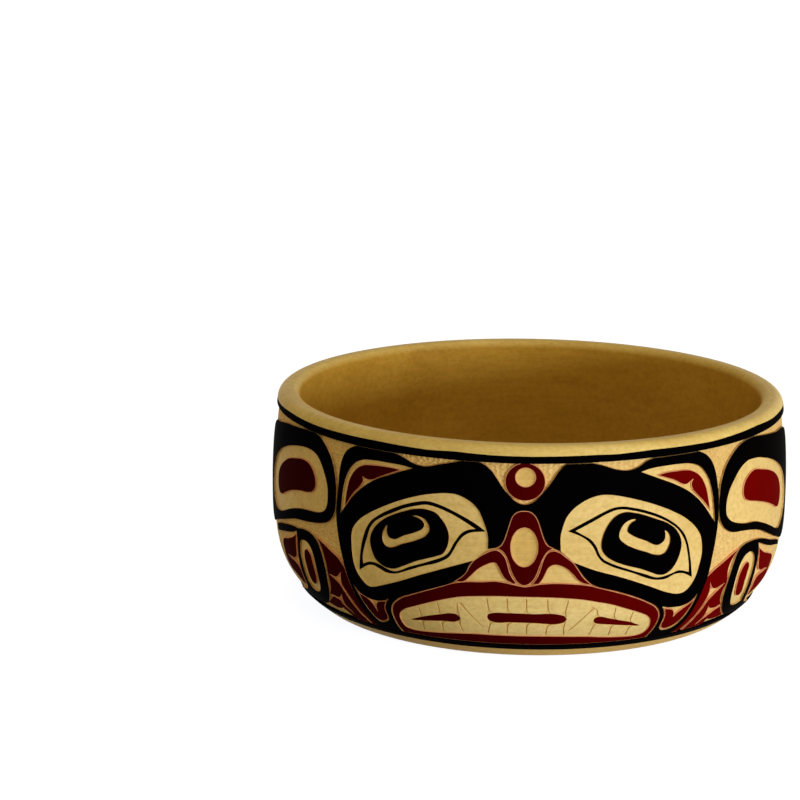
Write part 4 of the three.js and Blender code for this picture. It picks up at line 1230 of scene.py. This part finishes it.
# %% Draw and carve the fins
NEAR_FIN = {
    "right": [
        (110.3, 54.9, 1), (114.2, 57.4), (122.4, 61), (129.5, 64), (135.9, 66.1, 1), (132.6, 64),
        (129.6, 61.2), (127.6, 57.6), (126.9, 54), (127.5, 50.6), (127.6, 46.9), (126, 44.6),
        (125.3, 41.5), (125.6, 38.3), (126.8, 35.6), (128.8, 33.4, 1), (124.9, 31.9), (120.9, 32.1),
        (118.6, 33), (116.9, 34.9, 1), (117.6, 30.5), (117.8, 27), (117, 24), (115.6, 21.6),
        (114.9, 19.4, 1), (117, 21.2), (118.5, 23.8), (120.2, 25.1), (122.6, 27.2), (125.5, 29.4),
        (129.4, 31.3, 1), (132.4, 27.6), (136, 24.2), (140.4, 20.9, 1), (135, 20.4), (130, 20.4),
        (126.2, 21.2), (123.2, 22.8, 1), (123.3, 20.5), (122.7, 18.6), (121.5, 17.2, 1),
        (106, 17, 1), (107.2, 21.4), (108.6, 25), (109.8, 28.6), (111.2, 31.4), (112.6, 34.2),
        (113.4, 37), (115.1, 39.6), (117.5, 41.7), (120.5, 44), (126, 48, 1), (121.5, 46.8),
        (118.8, 46.2), (117.2, 46.4), (115.3, 47.4), (113.9, 49.3), (112.9, 51.3, 1), (113.6, 47.5),
        (113.4, 43.6), (112.2, 39.8), (110.5, 35.5), (108.4, 30.4), (106, 25.5), (103.6, 20.7),
        (102.3, 18.4), (101.3, 17, 1), (97, 17, 1), (98.8, 20.3), (100.4, 24.2), (101.9, 28.5),
        (103.4, 33), (104.6, 37), (105.9, 41.5), (107, 45.5), (108.2, 49.3), (109.2, 52.4),
    ],
    "left": [
        (-108.7, 55.1, 1), (-112.6, 59.2), (-121.6, 63.6), (-127, 65.9), (-131.9, 67.5, 1),
        (-129.3, 64.8), (-127.2, 61.3), (-125.6, 57.4), (-124.4, 53.5), (-124.1, 50),
        (-123.9, 46.8), (-123.6, 43), (-124.5, 39), (-126.2, 36), (-128, 33.9, 1), (-123, 33.9),
        (-119.9, 33.5), (-117.5, 34.9), (-115.1, 37.5, 1), (-116.1, 34.4), (-116.2, 31),
        (-115.4, 28.2), (-113.6, 25.2), (-111.8, 21.6, 1), (-114.6, 24.9), (-117.4, 27.7),
        (-118.5, 29.8), (-118.8, 31.2), (-120.3, 32), (-125.1, 32.8, 1), (-128.4, 30.2),
        (-132.3, 27.3), (-136, 24.8, 1), (-132, 23.5), (-127.5, 23.1), (-124, 23.8), (-121, 25),
        (-118.4, 22.6), (-116.2, 19.8), (-115.4, 17.3, 1), (-101.8, 17.3, 1), (-103.2, 21.5),
        (-104.9, 24.3), (-106.9, 29.2), (-108.6, 32.6), (-110.3, 36.5), (-112, 39.8), (-115, 44.2),
        (-118, 46.2), (-123, 48.2, 1), (-120.3, 48.3), (-117.8, 47.9), (-116.2, 48.3),
        (-114.5, 49.5), (-112.2, 52.1, 1), (-112.8, 48.4), (-112.8, 45.2), (-109.8, 39.7),
        (-106.5, 33.8), (-105.3, 30.5), (-102.2, 23.8), (-100.6, 20.4), (-99.8, 17.3, 1),
        (-95.3, 17.3, 1), (-97, 22), (-98.9, 26.5), (-100.3, 31), (-101.7, 35.6), (-103.3, 40.4),
        (-105.2, 45.3), (-107, 50),
    ],
}
FAR_FIN = {
    "right": [
        (159.2, 61.4, 1), (163.3, 58.7), (168.1, 56.3), (175, 54), (181.5, 51.7), (184.1, 50.1),
        (184.4, 48.3), (183.6, 45), (182.7, 41.2), (180.7, 36.8), (175, 34), (168, 31.5),
        (163.8, 30.1), (162.3, 30.1), (161.3, 31.4), (161.4, 33.6), (161.8, 36.2), (161.7, 39.3),
        (162.8, 41.6), (166.6, 43.2), (171, 43.5), (179, 43.8, 1), (173.9, 45.2), (166.1, 46.2),
        (162.6, 48.2), (161.1, 51.7), (160.3, 56.5),
    ],
    "left": [
        (-156.4, 63.6, 1), (-162.1, 60.5), (-170.5, 57.5), (-179, 54.7), (-180.8, 52.4),
        (-180.2, 48), (-178, 41.6), (-173.5, 38), (-168.5, 36.4), (-163.7, 34.1), (-160.5, 32),
        (-157.9, 31.4), (-156.4, 33.5), (-156, 38), (-156.6, 42), (-159, 44.2), (-162.5, 45.4),
        (-168, 46), (-174.5, 46.9, 1), (-166.5, 47.5), (-160.5, 48.7), (-158.2, 50.6), (-157.5, 55),
        (-157.3, 59.5),
    ],
}
pair("near_fin", NEAR_FIN, "red")
pair("far_fin", FAR_FIN, "red")

# %% [markdown]
# ## The floor and the backdrop
# A pale sweep runs from under the bowl up behind it. To the camera, and in a reflection, it is
# white by its own glow, but to the lamp it is an ordinary pale floor, so that the shadow stays
# and no light is thrown back onto the bowl.

# %% Lay the floor
FRONT, BEND, BEND_RADIUS, TOP, HALF_WIDE = -4, 3.2, 1.2, 4.5, 6  # metres
arc = np.linspace(0, math.pi / 2, 12)
points = [(BEND + BEND_RADIUS * math.sin(a), BEND_RADIUS - BEND_RADIUS * math.cos(a)) for a in arc]
points = [(FRONT, 0)] + points + [(BEND + BEND_RADIUS, TOP)]
floor = chain("floor", [(y / MM, z / MM) for y, z in points])
bpy.ops.mesh.select_all(action="SELECT")
bpy.ops.transform.translate(value=(0, -HALF_WIDE, 0))
bpy.ops.mesh.extrude_region_move(TRANSFORM_OT_translate={"value": (0, 2 * HALF_WIDE, 0)})
bpy.ops.object.mode_set(mode="OBJECT")
floor.data.transform(Matrix.Rotation(math.pi / 2, 4, "Z"))
if floor.data.polygons[0].normal.z < 0:
    floor.data.flip_normals()
bpy.ops.object.shade_smooth()
pale = Finish("pale_floor")
ray = pale.nodes.new("ShaderNodeLightPath").outputs
seen_by = pale.sum("MAXIMUM", ray["Is Camera Ray"], ray["Is Glossy Ray"])
seen_by = pale.sum("MAXIMUM", seen_by, ray["Is Transmission Ray"])
pale.put((0.92, 0.95, 1, 1), pale.shader.inputs["Emission Color"])
pale.put(pale.sum("MULTIPLY", seen_by, 0.96), pale.shader.inputs["Emission Strength"])
floor.data.materials.append(pale.done((0.4, 0.37, 0.3, 1), 0.9))
print("floor:", len(floor.data.polygons), "faces")

# %% [markdown]
# ## The light
# The photograph is lit by one soft window on the right in front, low enough to leave the inside
# of the bowl in shade. The rest is a dim, warm room, which the camera sees as white.

# %% Hang the light
world = bpy.data.worlds.new("studio")
scene.world = world
world.use_nodes = True
nodes, link = world.node_tree.nodes, world.node_tree.links.new
room, white = nodes["Background"], nodes.new("ShaderNodeBackground")
room.inputs["Color"].default_value = (1, 0.83, 0.5, 1)
room.inputs["Strength"].default_value = 0.5
white.inputs["Color"].default_value = (1, 1, 1, 1)
choose = nodes.new("ShaderNodeMixShader")
link(nodes.new("ShaderNodeLightPath").outputs["Is Camera Ray"], choose.inputs[0])
link(room.outputs[0], choose.inputs[1])
link(white.outputs[0], choose.inputs[2])
link(choose.outputs[0], nodes["World Output"].inputs["Surface"])

WINDOW, LIT_SPOT = Vector((1.6, -1.5, 0.22)), Vector((0, 0, 0.06))
bpy.ops.object.light_add(type="AREA", location=WINDOW)
lamp = bpy.context.object
lamp.name = "window_right"
lamp.data.energy, lamp.data.shape = 31, "RECTANGLE"
lamp.data.size, lamp.data.size_y = 0.9, 0.34
lamp.rotation_euler = (LIT_SPOT - WINDOW).to_track_quat("-Z", "Y").to_euler()
scene.view_settings.view_transform = "Standard"
print("one soft lamp of", lamp.data.energy, "watts")
